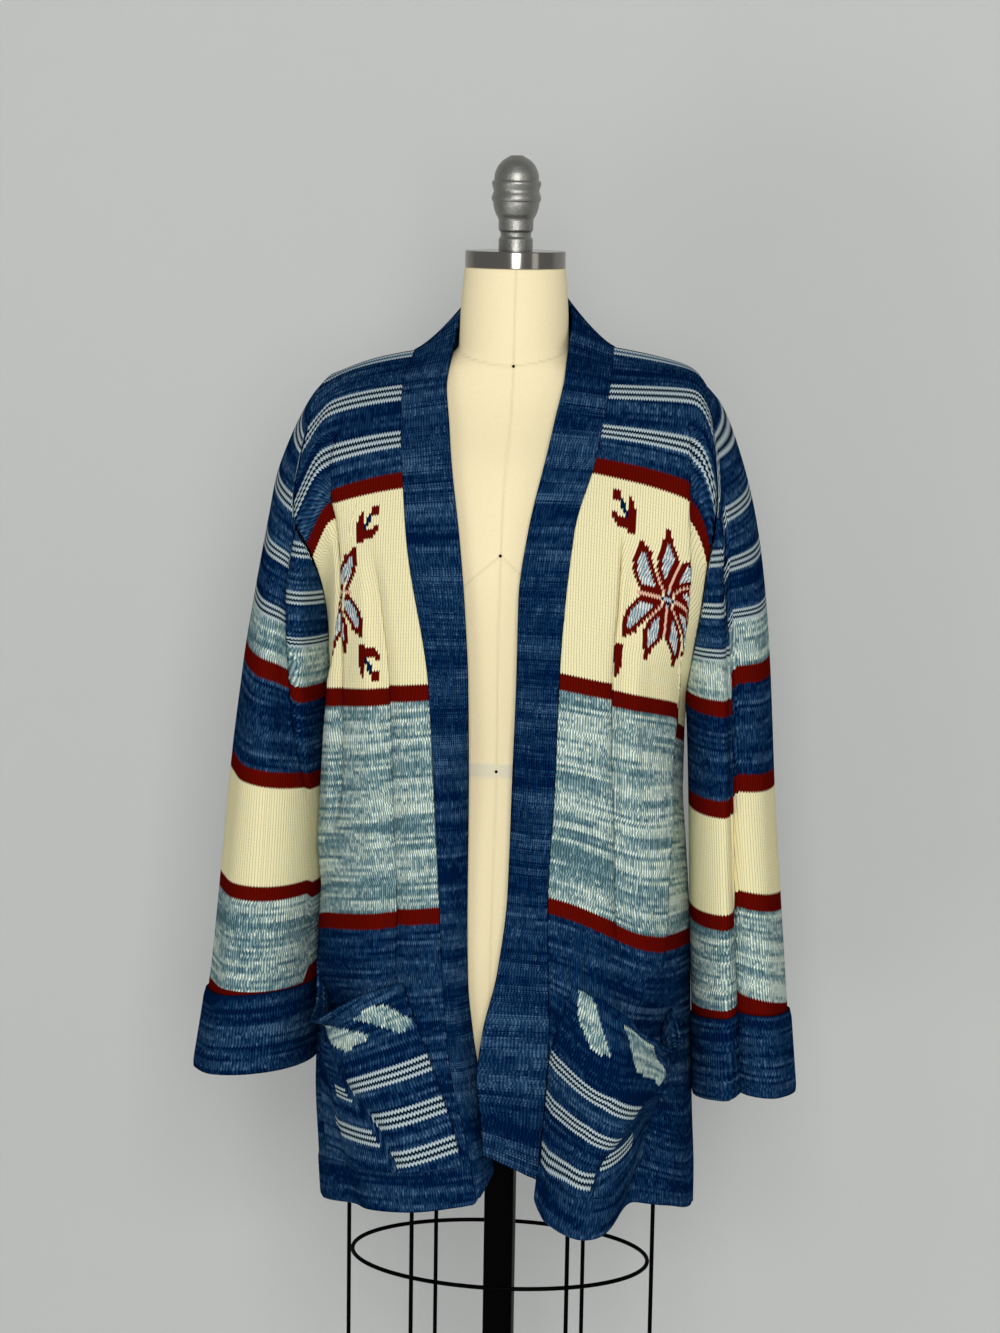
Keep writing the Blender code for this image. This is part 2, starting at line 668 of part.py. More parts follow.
def pocket_grid(side):
    """A pocket is its front's own points moved out, and its lip sags open."""
    sizes = POCKETS[side]
    rows = []
    for down in spread(0.0, 1.0, POCKET_ROWS):
        row = []
        for place in spread(0.0, 1.0, POCKET_COLUMNS):
            inner = between(sizes["inner_top"], sizes["inner_foot"], down)
            across = between(inner, between(sizes["outer_top"], sizes["outer_foot"], down), place)
            mouth = between(sizes["mouth_inner"], sizes["mouth_outer"], place)
            run = between(mouth, sizes["foot"], down)
            point = front_point(side, across, run)
            beside = front_point(side, across + 0.02, run) - front_point(side, across - 0.02, run)
            below = front_point(side, across, run + 0.01) - front_point(side, across, run - 0.01)
            out = beside.cross(below).normalized() * -sign_of(side)
            sag = sizes["sag"] * (1 - down) ** 2.2
            sag *= bump(place - sizes["sag_at"], sizes["sag_width"], sizes["sag_width"])
            row.append(point + out * (CLOTH + POCKET_LIFT + 0.4 * sag) + Vector((0, -0.8, -0.4)) * sag)
        rows.append(row)
    return rows


# ---------------------------------------------------------------- Blender objects
def clear_scene():
    for thing in list(bpy.data.objects):
        bpy.data.objects.remove(thing)
    for group in list(bpy.data.collections):
        bpy.data.collections.remove(group)


def make_material(name):
    colour, roughness, metallic = COLOURS[name]
    material = bpy.data.materials.get(name) or bpy.data.materials.new(name)
    material.use_nodes = True
    shader = material.node_tree.nodes["Principled BSDF"]
    shader.inputs["Base Color"].default_value = (*colour, 1.0)
    shader.inputs["Roughness"].default_value = roughness
    shader.inputs["Metallic"].default_value = metallic
    return material


def add_object(name, data, colour, group):
    thing = bpy.data.objects.new(name, data)
    data.materials.append(make_material(colour))
    group.objects.link(thing)
    return thing


def mesh_from(shape, name):
    mesh = bpy.data.meshes.new(name)
    shape.to_mesh(mesh)
    shape.free()
    return mesh


def loft(rows, closed=False, capped=False):
    """A bmesh skin over rows of points; closed joins the ends of every row, capped fills the end rows."""
    shape = bmesh.new()
    grid = [[shape.verts.new(point) for point in row] for row in rows]
    width = len(rows[0])
    for upper, lower in zip(grid, grid[1:]):
        for i in range(width if closed else width - 1):
            j = (i + 1) % width
            shape.faces.new((upper[i], upper[j], lower[j], lower[i]))
    if capped:
        shape.faces.new(grid[0])
        shape.faces.new(grid[-1])
    shape.normal_update()
    bmesh.ops.recalc_face_normals(shape, faces=shape.faces)
    return shape


def add_cloth(name, rows, colour, group, closed=False, wall=CLOTH):
    """An open surface given the thickness of its cloth."""
    thing = add_object(name, mesh_from(loft(rows, closed), name), colour, group)
    shell = thing.modifiers.new("cloth", "SOLIDIFY")
    shell.thickness = wall
    shell.offset = 0.0
    thing.data.shade_smooth()
    return thing


def add_garment(group):
    for side in ("right", "left"):
        add_cloth(f"front_{side}", front_grid(side), "cream", group)
        add_cloth(f"sleeve_{side}", sleeve_grid(side), "cream", group, closed=True)
        add_cloth(f"cuff_{side}", cuff_grid(side), "marl_blue", group, closed=True)
        add_cloth(f"pocket_{side}", pocket_grid(side), "marl_blue", group)
    add_cloth("back", back_grid(), "cream", group)
    add_cloth("front_band", band_grid(), "marl_blue", group, wall=BAND_CLOTH)


def add_torso(group):
    """The canvas-covered trunk and neck: one smooth closed loft of ovals."""
    sides = 36
    rows = []
    for i, low in enumerate(TORSO[:-1]):
        parts = 3 if TORSO[i + 1]["z"] - low["z"] > 0.05 else 1
        for part in range(parts):
            z = between(low["z"], TORSO[i + 1]["z"], part / parts)
            rows.append(read(TORSO, "z", z))
    rows.append(TORSO[-1])
    rings = []
    for row in rows:
        ring = []
        for i in range(sides):
            turn = 2 * math.pi * i / sides
            ring.append(Vector((row["width"] * math.cos(turn), row["depth"] * math.sin(turn), row["z"])))
        rings.append(ring)
    shape = loft(rings, closed=True, capped=True)
    thing = add_object("form_torso", mesh_from(shape, "form_torso"), "canvas", group)
    thing.data.shade_smooth()
    thing.data.set_sharp_from_angle(angle=math.radians(50))


def add_cap(group):
    shape = bmesh.new()
    bmesh.ops.create_cone(shape, cap_ends=True, segments=48, radius1=CAP_RADIUS, radius2=CAP_RADIUS,
                          depth=CAP_HEIGHT)
    thing = add_object("neck_cap", mesh_from(shape, "neck_cap"), "steel", group)
    thing.location.z = NECK_TOP_Z + SEAM_GAP + CAP_HEIGHT / 2
    edge = thing.modifiers.new("edge", "BEVEL")
    edge.width = 0.0008
    edge.segments = 2


def add_finial(group):
    """A turned knob: its profile runs down its outer side and is spun by a Screw modifier."""
    foot = NECK_TOP_Z + SEAM_GAP * 2 + CAP_HEIGHT
    shape = bmesh.new()
    points = [(0.0, FINIAL[-1]["height"])]
    points += [(row["radius"], row["height"]) for row in reversed(FINIAL)]
    points += [(0.0, 0.0)]
    verts = [shape.verts.new((radius, 0, height)) for radius, height in points]
    for upper, lower in zip(verts, verts[1:]):
        shape.edges.new((upper, lower))
    thing = add_object("finial", mesh_from(shape, "finial"), "silver", group)
    thing.location.z = foot
    turn = thing.modifiers.new("turn", "SCREW")
    turn.steps = turn.render_steps = 32
    turn.use_merge_vertices = True
    turn.merge_threshold = 0.00005
    turn.use_smooth_shade = True


def add_box_pole(group):
    shape = bmesh.new()
    bmesh.ops.create_cube(shape, size=1.0)
    length = TORSO_FOOT_Z - FOOT_HEIGHT - 2 * SEAM_GAP
    bmesh.ops.scale(shape, vec=(POLE_SIDE, POLE_SIDE, length), verts=shape.verts)
    thing = add_object("pole", mesh_from(shape, "pole"), "black", group)
    thing.location.z = FOOT_HEIGHT + SEAM_GAP + length / 2
    edge = thing.modifiers.new("edge", "BEVEL")
    edge.width = 0.0015
    edge.segments = 2


def add_foot(group):
    shape = bmesh.new()
    bmesh.ops.create_cone(shape, cap_ends=True, segments=64, radius1=FOOT_RADIUS, radius2=FOOT_RADIUS,
                          depth=FOOT_HEIGHT)
    thing = add_object("stand_foot", mesh_from(shape, "stand_foot"), "black", group)
    thing.location.z = FOOT_HEIGHT / 2
    edge = thing.modifiers.new("edge", "BEVEL")
    edge.width = 0.004
    edge.segments = 3


def add_wire(name, points, cyclic, group):
    """Black wire as a curve with a round section and filled ends."""
    curve = bpy.data.curves.new(name, "CURVE")
    curve.dimensions = "3D"
    curve.bevel_depth = WIRE_RADIUS
    curve.bevel_resolution = 2
    curve.use_fill_caps = True
    line = curve.splines.new("POLY")
    line.points.add(len(points) - 1)
    for point, place in zip(line.points, points):
        point.co = (*place, 1.0)
    line.use_cyclic_u = cyclic
    add_object(name, curve, "black", group)


def add_cage(group):
    """Two oval rings inside six upright wires that hang from the trunk's foot."""
    for name, height in RING_HEIGHTS.items():
        points = []
        for i in range(48):
            turn = 2 * math.pi * i / 48
            points.append((RING_WIDTH * math.cos(turn), RING_DEPTH * math.sin(turn), height))
        add_wire(f"cage_ring_{name}", points, True, group)
    top = TORSO_FOOT_Z - SEAM_GAP
    foot = RING_HEIGHTS["lower"] - 0.012
    clear = 2 * WIRE_RADIUS + SEAM_GAP
    for i, angle in enumerate((0.0, 59.7, 120.3, 180.0, 239.7, 300.3)):
        turn = math.radians(angle)
        way = Vector((math.cos(turn) / RING_WIDTH, math.sin(turn) / RING_DEPTH)).normalized()
        x = RING_WIDTH * math.cos(turn) + way.x * clear
        y = RING_DEPTH * math.sin(turn) + way.y * clear
        add_wire(f"cage_wire_{i + 1}", [(x, y, top), (x, y, foot)], False, group)


def main():
    clear_scene()
    group = bpy.data.collections.new("fair_isle_cardigan_on_form")
    bpy.context.scene.collection.children.link(group)
    add_garment(group)
    add_torso(group)
    add_cap(group)
    add_finial(group)
    add_box_pole(group)
    add_foot(group)
    add_cage(group)


main()
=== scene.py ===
import math

import bmesh
import bpy
import numpy as np
from mathutils import Matrix, Vector


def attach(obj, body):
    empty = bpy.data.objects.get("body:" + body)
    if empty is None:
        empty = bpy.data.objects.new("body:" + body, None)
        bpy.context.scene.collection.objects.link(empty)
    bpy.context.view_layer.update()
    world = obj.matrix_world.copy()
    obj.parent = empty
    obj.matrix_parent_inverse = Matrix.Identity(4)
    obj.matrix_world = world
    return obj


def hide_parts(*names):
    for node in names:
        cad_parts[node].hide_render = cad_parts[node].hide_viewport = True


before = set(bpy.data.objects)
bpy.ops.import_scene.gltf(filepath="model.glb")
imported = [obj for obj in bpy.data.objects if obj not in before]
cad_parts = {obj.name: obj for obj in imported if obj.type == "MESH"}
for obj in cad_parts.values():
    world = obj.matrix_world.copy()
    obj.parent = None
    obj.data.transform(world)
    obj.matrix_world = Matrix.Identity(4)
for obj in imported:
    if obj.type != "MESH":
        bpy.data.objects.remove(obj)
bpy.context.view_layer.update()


def addObject(name, data):
    thing = bpy.data.objects.new(name, data)
    bpy.context.scene.collection.objects.link(thing)
    return thing


def meshFrom(name, shape):
    mesh = bpy.data.meshes.new(name)
    shape.to_mesh(mesh)
    shape.free()
    mesh.shade_smooth()
    return mesh


def addPiece(name, shape, sharpAngle=None):
    mesh = meshFrom(name, shape)
    if sharpAngle is not None:
        mesh.set_sharp_from_angle(angle=math.radians(sharpAngle))
    thing = addObject(name, mesh)
    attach(thing, "root")
    return thing


# camera
camera = {
    "place": (0.3169, -2.5806, 1.600),
    "heading": 7.18,      # degrees from +Y towards -X
    "tilt": 10.06,        # degrees down
    "roll": 0.9,
    "lens": 77.0,
}


def makeCamera():
    turn, tilt, roll = (math.radians(camera[key]) for key in ("heading", "tilt", "roll"))
    ahead = Vector((-math.sin(turn) * math.cos(tilt), math.cos(turn) * math.cos(tilt), -math.sin(tilt)))
    side = Vector((math.cos(turn), math.sin(turn), 0))
    up = side.cross(ahead)
    side, up = side * math.cos(roll) + up * math.sin(roll), up * math.cos(roll) - side * math.sin(roll)
    lens = bpy.data.cameras.new("camera")
    lens.lens = camera["lens"]
    lens.sensor_width = 36
    lens.sensor_fit = "AUTO"
    thing = addObject("camera", lens)
    facing = Matrix((side, up, -ahead)).transposed().to_4x4()
    thing.matrix_world = Matrix.Translation(camera["place"]) @ facing
    bpy.context.scene.camera = thing


makeCamera()
print("camera placed")


# tables read on smooth curves, and soft steps
def curve(names, *rows):
    data = np.array(rows, float)
    if data[0, 0] > data[-1, 0]:
        data = data[::-1]
    steps = np.diff(data, axis=0) / np.diff(data[:, :1], axis=0)
    slopes = np.vstack([steps[:1], steps])
    for i in range(1, len(steps)):
        before, after = steps[i - 1], steps[i]
        both = before + after
        both[both == 0] = 1
        slopes[i] = np.where(before * after > 0, 2 * before * after / both, 0)
    return {"names": names.split(), "data": data, "slopes": slopes}


def read(table, at):
    data, slopes = table["data"], table["slopes"]
    keys = data[:, 0]
    at = np.clip(at, keys[0], keys[-1])
    low = np.clip(np.searchsorted(keys, at, side="right") - 1, 0, len(keys) - 2)
    span = keys[low + 1] - keys[low]
    t = (at - keys[low]) / span
    found = {}
    for i, name in enumerate(table["names"]):
        found[name] = (data[low, i] * (1 + 2 * t) * (1 - t) ** 2 + data[low + 1, i] * t * t * (3 - 2 * t)
                       + slopes[low, i] * span * t * (1 - t) ** 2
                        - slopes[low + 1, i] * span * t * t * (1 - t))
    return found


def readOne(table, at):
    return {key: float(value) for key, value in read(table, at).items()}


def inPlan(line):
    flat = line.copy()
    flat[:, 2] = 0
    return flat


def stepsAlong(line):
    return np.append(0, np.cumsum(np.linalg.norm(np.diff(line, axis=0), axis=1)))


def pointsAt(at, steps, line):
    return np.column_stack([np.interp(at, steps, line[:, k]) for k in range(3)])


def emptyGrid(down, over):
    count = (down, over)
    return np.zeros((*count, 3)), np.zeros(count), np.zeros(count), np.zeros(count, bool)


def ease(t):
    t = np.clip(t, 0, 1)
    return t * t * (3 - 2 * t)


def bump(distance, before, after):
    share = distance / np.where(distance < 0, before, after)
    return np.where(np.abs(share) < 1, 0.5 + 0.5 * np.cos(np.pi * share), 0)


def between(start, end, share):
    return start + (end - start) * share


def bezier(p0, p1, p2, p3, t):
    t = t[:, None]
    return p0 * (1 - t) ** 3 + p1 * 3 * t * (1 - t) ** 2 + p2 * 3 * t * t * (1 - t) + p3 * t ** 3


def signOf(side):
    return 1.0 if side == "left" else -1.0


# where the garment hangs, in metres
garment = {
    "length": 0.806, "bandLength": {"right": 0.803, "left": 0.788}, "tip": 1.404,
    "underarm": {"right": 1.125, "left": 1.090}, "backLength": 0.798, "sleeveLength": 0.585,
    "neckY": 0.064, "neckZ": 1.428, "neckShare": 0.5, "knee": 0.66,
    "cloth": 0.0022, "bandCloth": 0.0036, "cuffCloth": 0.0030, "cuffLength": 0.078, "cuffStep": 0.0030,
    "gap": 0.0003, "wale": 0.0024, "course": 0.0030, "backWale": 0.0026, "backCourse": 0.0032,
    "cuffCourses": 27, "bandWales": 18,
}
edgeTrim = 0.0006       # how far a piece stops short of its trimmed edge
bandSeamGap = 0.0001    # between the band's seam and the cloth on either side of it
weldDistance = 0.00002
neckEnd = 0.33          # run at which the neck's slope ends
seeds = {   # for the streaks of each piece's marled yarns
    "front": {"right": 31, "left": 11}, "sleeve": {"right": 71, "left": 51},
    "cuff": {"right": 95, "left": 91},
    "pocket": {"right": 171, "left": 151}, "back": 111, "band": 131,
}
fronts = {
    "right": curve(
        "run seamX seamY seamZ kneeZ edgeZ",
        (0.000, 0.0905, 0.000, 1.4280, 1.4110, 1.4040),
        (0.052, 0.0945, -0.042, 1.3995, 1.3835, 1.3590),
        (0.092, 0.0920, -0.067, 1.3625, 1.3440, 1.2955),
        (0.131, 0.0875, -0.085, 1.3280, 1.3020, 1.2580),
        (0.200, 0.0795, -0.105, 1.2625, 1.2440, 1.2030),
        (0.322, 0.0566, -0.123, 1.1425, 1.1235, 1.1060),
        (0.430, 0.0495, -0.125, 1.0360, 1.0130, 0.9960),
        (0.526, 0.0434, -0.1275, 0.9405, 0.9175, 0.8940),
        (0.600, 0.0390, -0.129, 0.8670, 0.8440, 0.8230),
        (0.650, 0.0345, -0.130, 0.8185, 0.7950, 0.7750),
        (0.690, 0.0290, -0.132, 0.7795, 0.7560, 0.7360),
        (0.740, 0.0165, -0.134, 0.7310, 0.7070, 0.6870),
        (0.806, 0.0045, -0.134, 0.6650, 0.6375, 0.6225)),
    "left": curve(
        "run seamX seamY seamZ kneeZ edgeZ",
        (0.000, 0.0908, 0.000, 1.4350, 1.4190, 1.4040),
        (0.052, 0.0920, -0.042, 1.4045, 1.4030, 1.3700),
        (0.092, 0.0885, -0.065, 1.3725, 1.3640, 1.3095),
        (0.131, 0.0853, -0.081, 1.3450, 1.3165, 1.2640),
        (0.200, 0.0690, -0.105, 1.2790, 1.2460, 1.2000),
        (0.322, 0.0605, -0.122, 1.1570, 1.1180, 1.0880),
        (0.430, 0.0580, -0.125, 1.0495, 1.0180, 0.9860),
        (0.526, 0.0540, -0.1255, 0.9540, 0.9180, 0.8985),
        (0.600, 0.0556, -0.126, 0.8815, 0.8420, 0.8260),
        (0.660, 0.0576, -0.125, 0.8225, 0.7850, 0.7680),
        (0.700, 0.0558, -0.122, 0.7840, 0.7480, 0.7300),
        (0.755, 0.0514, -0.116, 0.7290, 0.6980, 0.6800),
        (0.806, 0.0440, -0.110, 0.6585, 0.6555, 0.6350)),
}
sides = {
    "right": curve("z x", (1.125, 0.1640), (1.060, 0.1668), (0.940, 0.1705), (0.840, 0.1752),
                   (0.740, 0.1765), (0.680, 0.1735), (0.620, 0.1700)),
    "left": curve("z x", (1.090, 0.1630), (1.030, 0.1630), (0.985, 0.1665), (0.900, 0.1730),
                  (0.800, 0.1765), (0.720, 0.1798), (0.660, 0.1830), (0.620, 0.1835)),
}
backCurve = curve(
    "run y z edgeZ",
    (0.000, 0.064, 1.428, 1.404), (0.050, 0.088, 1.388, 1.350), (0.120, 0.110, 1.322, 1.270),
    (0.220, 0.120, 1.222, 1.190), (0.340, 0.119, 1.102, 1.075), (0.500, 0.119, 0.944, 0.924),
    (0.650, 0.122, 0.794, 0.776), (0.798, 0.125, 0.648, 0.630))
sleeves = {
    "right": curve(
        "z outer inner depth armhole",
        (1.404, 0.1680, 0.1500, 0.030, 0.0), (1.385, 0.1840, 0.1500, 0.038, 55.0),
        (1.350, 0.2020, 0.1500, 0.052, 74.0), (1.310, 0.2165, 0.1500, 0.060, 78.0),
        (1.280, 0.2220, 0.1530, 0.065, 84.0), (1.250, 0.2275, 0.1585, 0.068, 116.0),
        (1.200, 0.2365, 0.1645, 0.070, 154.0), (1.150, 0.2450, 0.1668, 0.072, 172.0),
        (1.125, 0.2485, 0.1680, 0.074, 180.0), (1.060, 0.2569, 0.1710, 0.077, 180.0),
        (0.940, 0.2690, 0.1745, 0.076, 180.0), (0.840, 0.2795, 0.1793, 0.073, 180.0),
        (0.740, 0.2950, 0.1822, 0.070, 180.0)),
    "left": curve(
        "z outer inner depth armhole",
        (1.404, 0.1730, 0.1500, 0.030, 0.0), (1.385, 0.1890, 0.1500, 0.038, 55.0),
        (1.350, 0.2040, 0.1500, 0.052, 68.0), (1.310, 0.2165, 0.1500, 0.060, 76.0),
        (1.280, 0.2235, 0.1515, 0.065, 85.0), (1.250, 0.2288, 0.1540, 0.068, 98.0),
        (1.200, 0.2352, 0.1580, 0.070, 116.0), (1.150, 0.2398, 0.1625, 0.072, 140.0),
        (1.090, 0.2440, 0.1675, 0.075, 180.0), (1.030, 0.2480, 0.1705, 0.077, 180.0),
        (0.940, 0.2558, 0.1738, 0.076, 180.0), (0.840, 0.2648, 0.1781, 0.073, 180.0),
        (0.740, 0.2745, 0.1821, 0.070, 180.0)),
}
# the height of each cuff's lower edge outside and at the body, and its rise in front
cuffEnds = {"right": (0.7405, 0.7540, 0.008), "left": (0.7457, 0.7405, 0.013)}


def ovalPoint(side, z, angle):
    row = read(sleeves[side], z)
    middle = (row["outer"] + row["inner"]) / 2
    half = (row["outer"] - row["inner"]) / 2
    turn = np.radians(angle)
    return signOf(side) * (middle + half * np.cos(turn)), -row["depth"] * np.sin(turn)


def bodyEdge(side, z, face):
    underarm = garment["underarm"][side]
    if z <= underarm:
        return np.array([signOf(side) * float(read(sides[side], z)["x"]), 0.0])
    angle = float(read(sleeves[side], z)["armhole"])
    share = float(ease((z - underarm) / 0.03))
    x, y = ovalPoint(side, z, angle if face == "front" else -angle)
    x = abs(x) - 0.0021 * float(ease((angle - 45) / 60))
    return np.array([signOf(side) * between(float(read(sides[side], underarm)["x"]), x, share), y])


def armholeHeight(side, angle):
    heights = np.linspace(garment["underarm"][side], garment["tip"], 300)
    return np.interp(-angle, -read(sleeves[side], heights)["armhole"], heights)


def cuffEdge(side, angle):
    outer, inner, front = cuffEnds[side]
    turn = np.radians(angle)
    return between(outer, inner, (1 - np.cos(turn)) / 2) + front * np.sin(turn)


# the fronts
# folds: place across (0 band, 1 edge) at top and foot, run from and to, half widths, depth outwards, drop
# tucks: the same, with half width and depth of a sharp pleat, and how much of the row's fall it takes up
frontFolds = {
    "right": ((0.26, 0.20, 0.18, 0.66, 0.12, 0.10, -0.006, 0.000),
              (0.62, 0.60, 0.10, 0.46, 0.10, 0.08, -0.010, 0.000),
              (0.22, 0.20, 0.60, 1.00, 0.22, 0.40, 0.014, 0.000),
              (0.80, 0.50, 0.60, 1.00, 0.14, 0.28, -0.007, 0.000)),
    "left": ((0.32, 0.36, 0.18, 0.66, 0.12, 0.10, -0.006, 0.000),
             (0.46, 0.46, 0.36, 0.72, 0.42, 0.50, 0.004, 0.011),
             (0.24, 0.18, 0.58, 1.00, 0.26, 0.28, 0.034, 0.018),
             (0.80, 0.80, 0.64, 1.00, 0.40, 0.30, 0.000, 0.008),
             (0.82, 0.38, 0.60, 1.00, 0.16, 0.22, -0.012, 0.000)),
}
frontTucks = {
    "right": ({"line": ((0.10, 0.47), (0.135, 0.54), (0.175, 0.63), (0.30, 0.68), (0.36, 0.74)),
               "half": 0.014, "depth": 0.0, "slip": 0.010},
              {"line": ((0.20, 0.23), (0.325, 0.21), (0.53, 0.19), (0.62, 0.21)),
               "half": 0.012, "depth": 0.004, "slip": 0.003}),
    "left": ({"line": ((0.09, 0.54), (0.13, 0.60), (0.175, 0.69), (0.205, 0.745), (0.28, 0.765), (0.36, 0.72),
                       (0.42, 0.68), (0.50, 0.60)),
              "half": 0.014, "depth": 0.0, "slip": 0.016},
             {"line": ((0.18, 0.22), (0.26, 0.27), (0.325, 0.28), (0.55, 0.32)),
              "half": 0.013, "depth": 0.008, "slip": 0.006}),
}
# knife pleats: the place of the edge by run, and how far back the two layers turned under it go
pleats = {
    "right": curve("run place over", (0.08, 0.44, 0.0), (0.10, 0.47, 0.010), (0.135, 0.54, 0.024),
                   (0.175, 0.63, 0.028), (0.30, 0.68, 0.028), (0.36, 0.74, 0.022), (0.44, 0.80, 0.010),
                   (0.50, 0.82, 0.0)),
    "left": curve("run place over", (0.08, 0.52, 0.0), (0.10, 0.56, 0.006), (0.13, 0.60, 0.014),
                  (0.175, 0.69, 0.019), (0.205, 0.745, 0.019), (0.235, 0.76, 0.019),
                  (0.28, 0.765, 0.018), (0.32, 0.75, 0.016),
                  (0.36, 0.72, 0.014), (0.42, 0.68, 0.010), (0.47, 0.62, 0.008), (0.52, 0.59, 0.006),
                  (0.58, 0.57, 0.0)),
}
pleatGap = 0.0026
frontHollows = {   # where a front sinks behind its pocket's mouth
    "right": {"run": 0.618, "lean": 0.03, "place": 0.66, "half": 0.42, "depth": 0.013},
    "left": {"run": 0.618, "lean": 0.02, "place": 0.58, "half": 0.38, "depth": 0.013},
}


foldFade = 0.07     # run over which a fold comes and goes


def foldEffect(folds, across, run):
    depth, drop = 0.0, 0.0
    for top, foot, start, end, inner, outer, deep, fall in folds:
        fade = float(ease((run - start) / foldFade))
        if end < 0.99:
            fade *= float(ease((end - run) / foldFade))
        along = min(max((run - start) / (min(end, garment["length"]) - start), 0), 1)
        amount = fade * bump(across - between(top, foot, along), inner, outer)
        depth = depth + deep * amount
        drop = drop + fall * amount
    return depth, drop


def tuckEffect(tucks, across, run):
    depth, drop = 0.0, 0.0
    for tuck in tucks:
        runs, places = zip(*tuck["line"])
        fade = float(ease((run - runs[0]) / 0.05) * ease((runs[-1] - run) / 0.06))
        place = float(np.interp(run, runs, places))
        depth = depth - tuck["depth"] * fade * bump(across - place, tuck["half"], tuck["half"])
        step = ease((across - place) / (2 * tuck["half"]) + 0.5)
        drop = drop + tuck["slip"] * fade * (step - across)
    return depth, drop


# the handles of a row's curve, the softness of its knee, the reach of the hollow and the doubled hem
frontShape = {
    "near": (0.62, 0.02), "farDepth": 0.64, "lead": {"right": 0.22, "left": 0.05}, "leadFrom": 1.1,
    "leadOver": 0.15, "kneeSoft": 0.08, "hollowAbove": 0.05, "hollowBelow": 0.035,
    "hemRun": 0.766, "hemOver": 0.003, "hemDepth": 0.0010,
}


def frontRow(side, run, across):
    row = readOne(fronts[side], run)
    seam = np.array([signOf(side) * row["seamX"], row["seamY"]])
    edge = bodyEdge(side, row["edgeZ"], "front")
    shape = frontShape
    lead = shape["lead"][side] * float(ease((row["edgeZ"] - shape["leadFrom"]) / shape["leadOver"]))
    step = edge - seam
    near = seam + np.array(shape["near"]) * step
    far = edge - np.array([lead * step[0], shape["farDepth"] * step[1]])
    flat = bezier(seam, near, far, edge, across)
    way = (bezier(seam, near, far, edge, np.minimum(across + 0.01, 1))
           - bezier(seam, near, far, edge, np.maximum(across - 0.01, 0)))
    out = np.stack([way[:, 1], -way[:, 0]], axis=1) * signOf(side)
    out /= np.linalg.norm(out, axis=1)[:, None]
    hold = ease(across / 0.05) * (1 - ease((across - 0.88) / 0.12))
    depth, drop = foldEffect(frontFolds[side], across, run)
    tuckDepth, slip = tuckEffect(frontTucks[side], across, run)
    hollow = frontHollows[side]
    below = run - hollow["run"] - hollow["lean"] * (across - 0.6)
    depth = depth - hollow["depth"] * bump(below, shape["hollowAbove"], shape["hollowBelow"]) * \
        bump(across - hollow["place"], hollow["half"], hollow["half"])
    depth = depth + shape["hemDepth"] * float(ease((run - shape["hemRun"]) / shape["hemOver"]))
    flat = flat + out * ((depth + tuckDepth) * hold)[:, None]
    knee, soft = garment["knee"], shape["kneeSoft"]
    past = (across - knee + np.hypot(across - knee, soft) - math.hypot(knee, soft) + knee) / 2
    most = (1 - knee + math.hypot(1 - knee, soft) - math.hypot(knee, soft) + knee) / 2
    first = (row["seamZ"] - row["kneeZ"]) / knee
    second = row["seamZ"] - first - row["edgeZ"]
    z = row["seamZ"] - first * across - second * past / most - drop * hold - slip
    return np.column_stack([flat, z])


def backTop(across):
    points = []
    for place in across:
        side = "left" if place >= 0 else "right"
        share = abs(place)
        neck = frontRow(side, 0.0, np.array([0.0]))[0]
        if share >= garment["neckShare"]:
            tip = np.append(bodyEdge(side, garment["tip"], "back"), garment["tip"])
            points.append(between(neck, tip, (share - 0.5) / 0.5))
        else:
            turn = math.pi / 2 * share / garment["neckShare"]
            rise = between(garment["neckZ"], neck[2], 1 - math.cos(turn))
            points.append(np.array([neck[0] * math.sin(turn), garment["neckY"] * math.cos(turn), rise]))
    return np.array(points)


backFolds = ((-0.62, -0.70, 0.10, 0.60, 0.10, 0.10, -0.010, 0.0),
             (-0.20, -0.28, 0.30, 1.00, 0.16, 0.12, 0.009, 0.0),
             (0.34, 0.26, 0.34, 1.00, 0.12, 0.16, 0.008, 0.0),
             (0.66, 0.74, 0.12, 0.66, 0.10, 0.10, -0.009, 0.0))


def backRow(run, across, top):
    row = readOne(backCurve, run)
    depth, _ = foldEffect(backFolds, across, run)
    points = np.zeros((len(across), 3))
    for side in ("right", "left"):
        pick = across >= 0 if side == "left" else across < 0
        place = np.abs(across[pick])
        edge = bodyEdge(side, row["edgeZ"], "back")
        flat = bezier(np.array([0, row["y"]]), np.array([0.58 * edge[0], row["y"]]),
                      np.array([edge[0], between(edge[1], row["y"], 0.56)]), edge, place)
        out = flat / np.array([0.17, 0.12])
        out /= np.linalg.norm(out, axis=1)[:, None]
        deep = (depth if np.isscalar(depth) else depth[pick]) * (1 - ease((place - 0.86) / 0.14))
        points[pick, :2] = flat + out * np.broadcast_to(deep, place.shape)[:, None]
        points[pick, 2] = between(row["z"], row["edgeZ"], place ** 1.6)
    share = float(ease(run / 0.075)) ** 0.6 if run > 0 else 0.0
    return between(top, points, share)


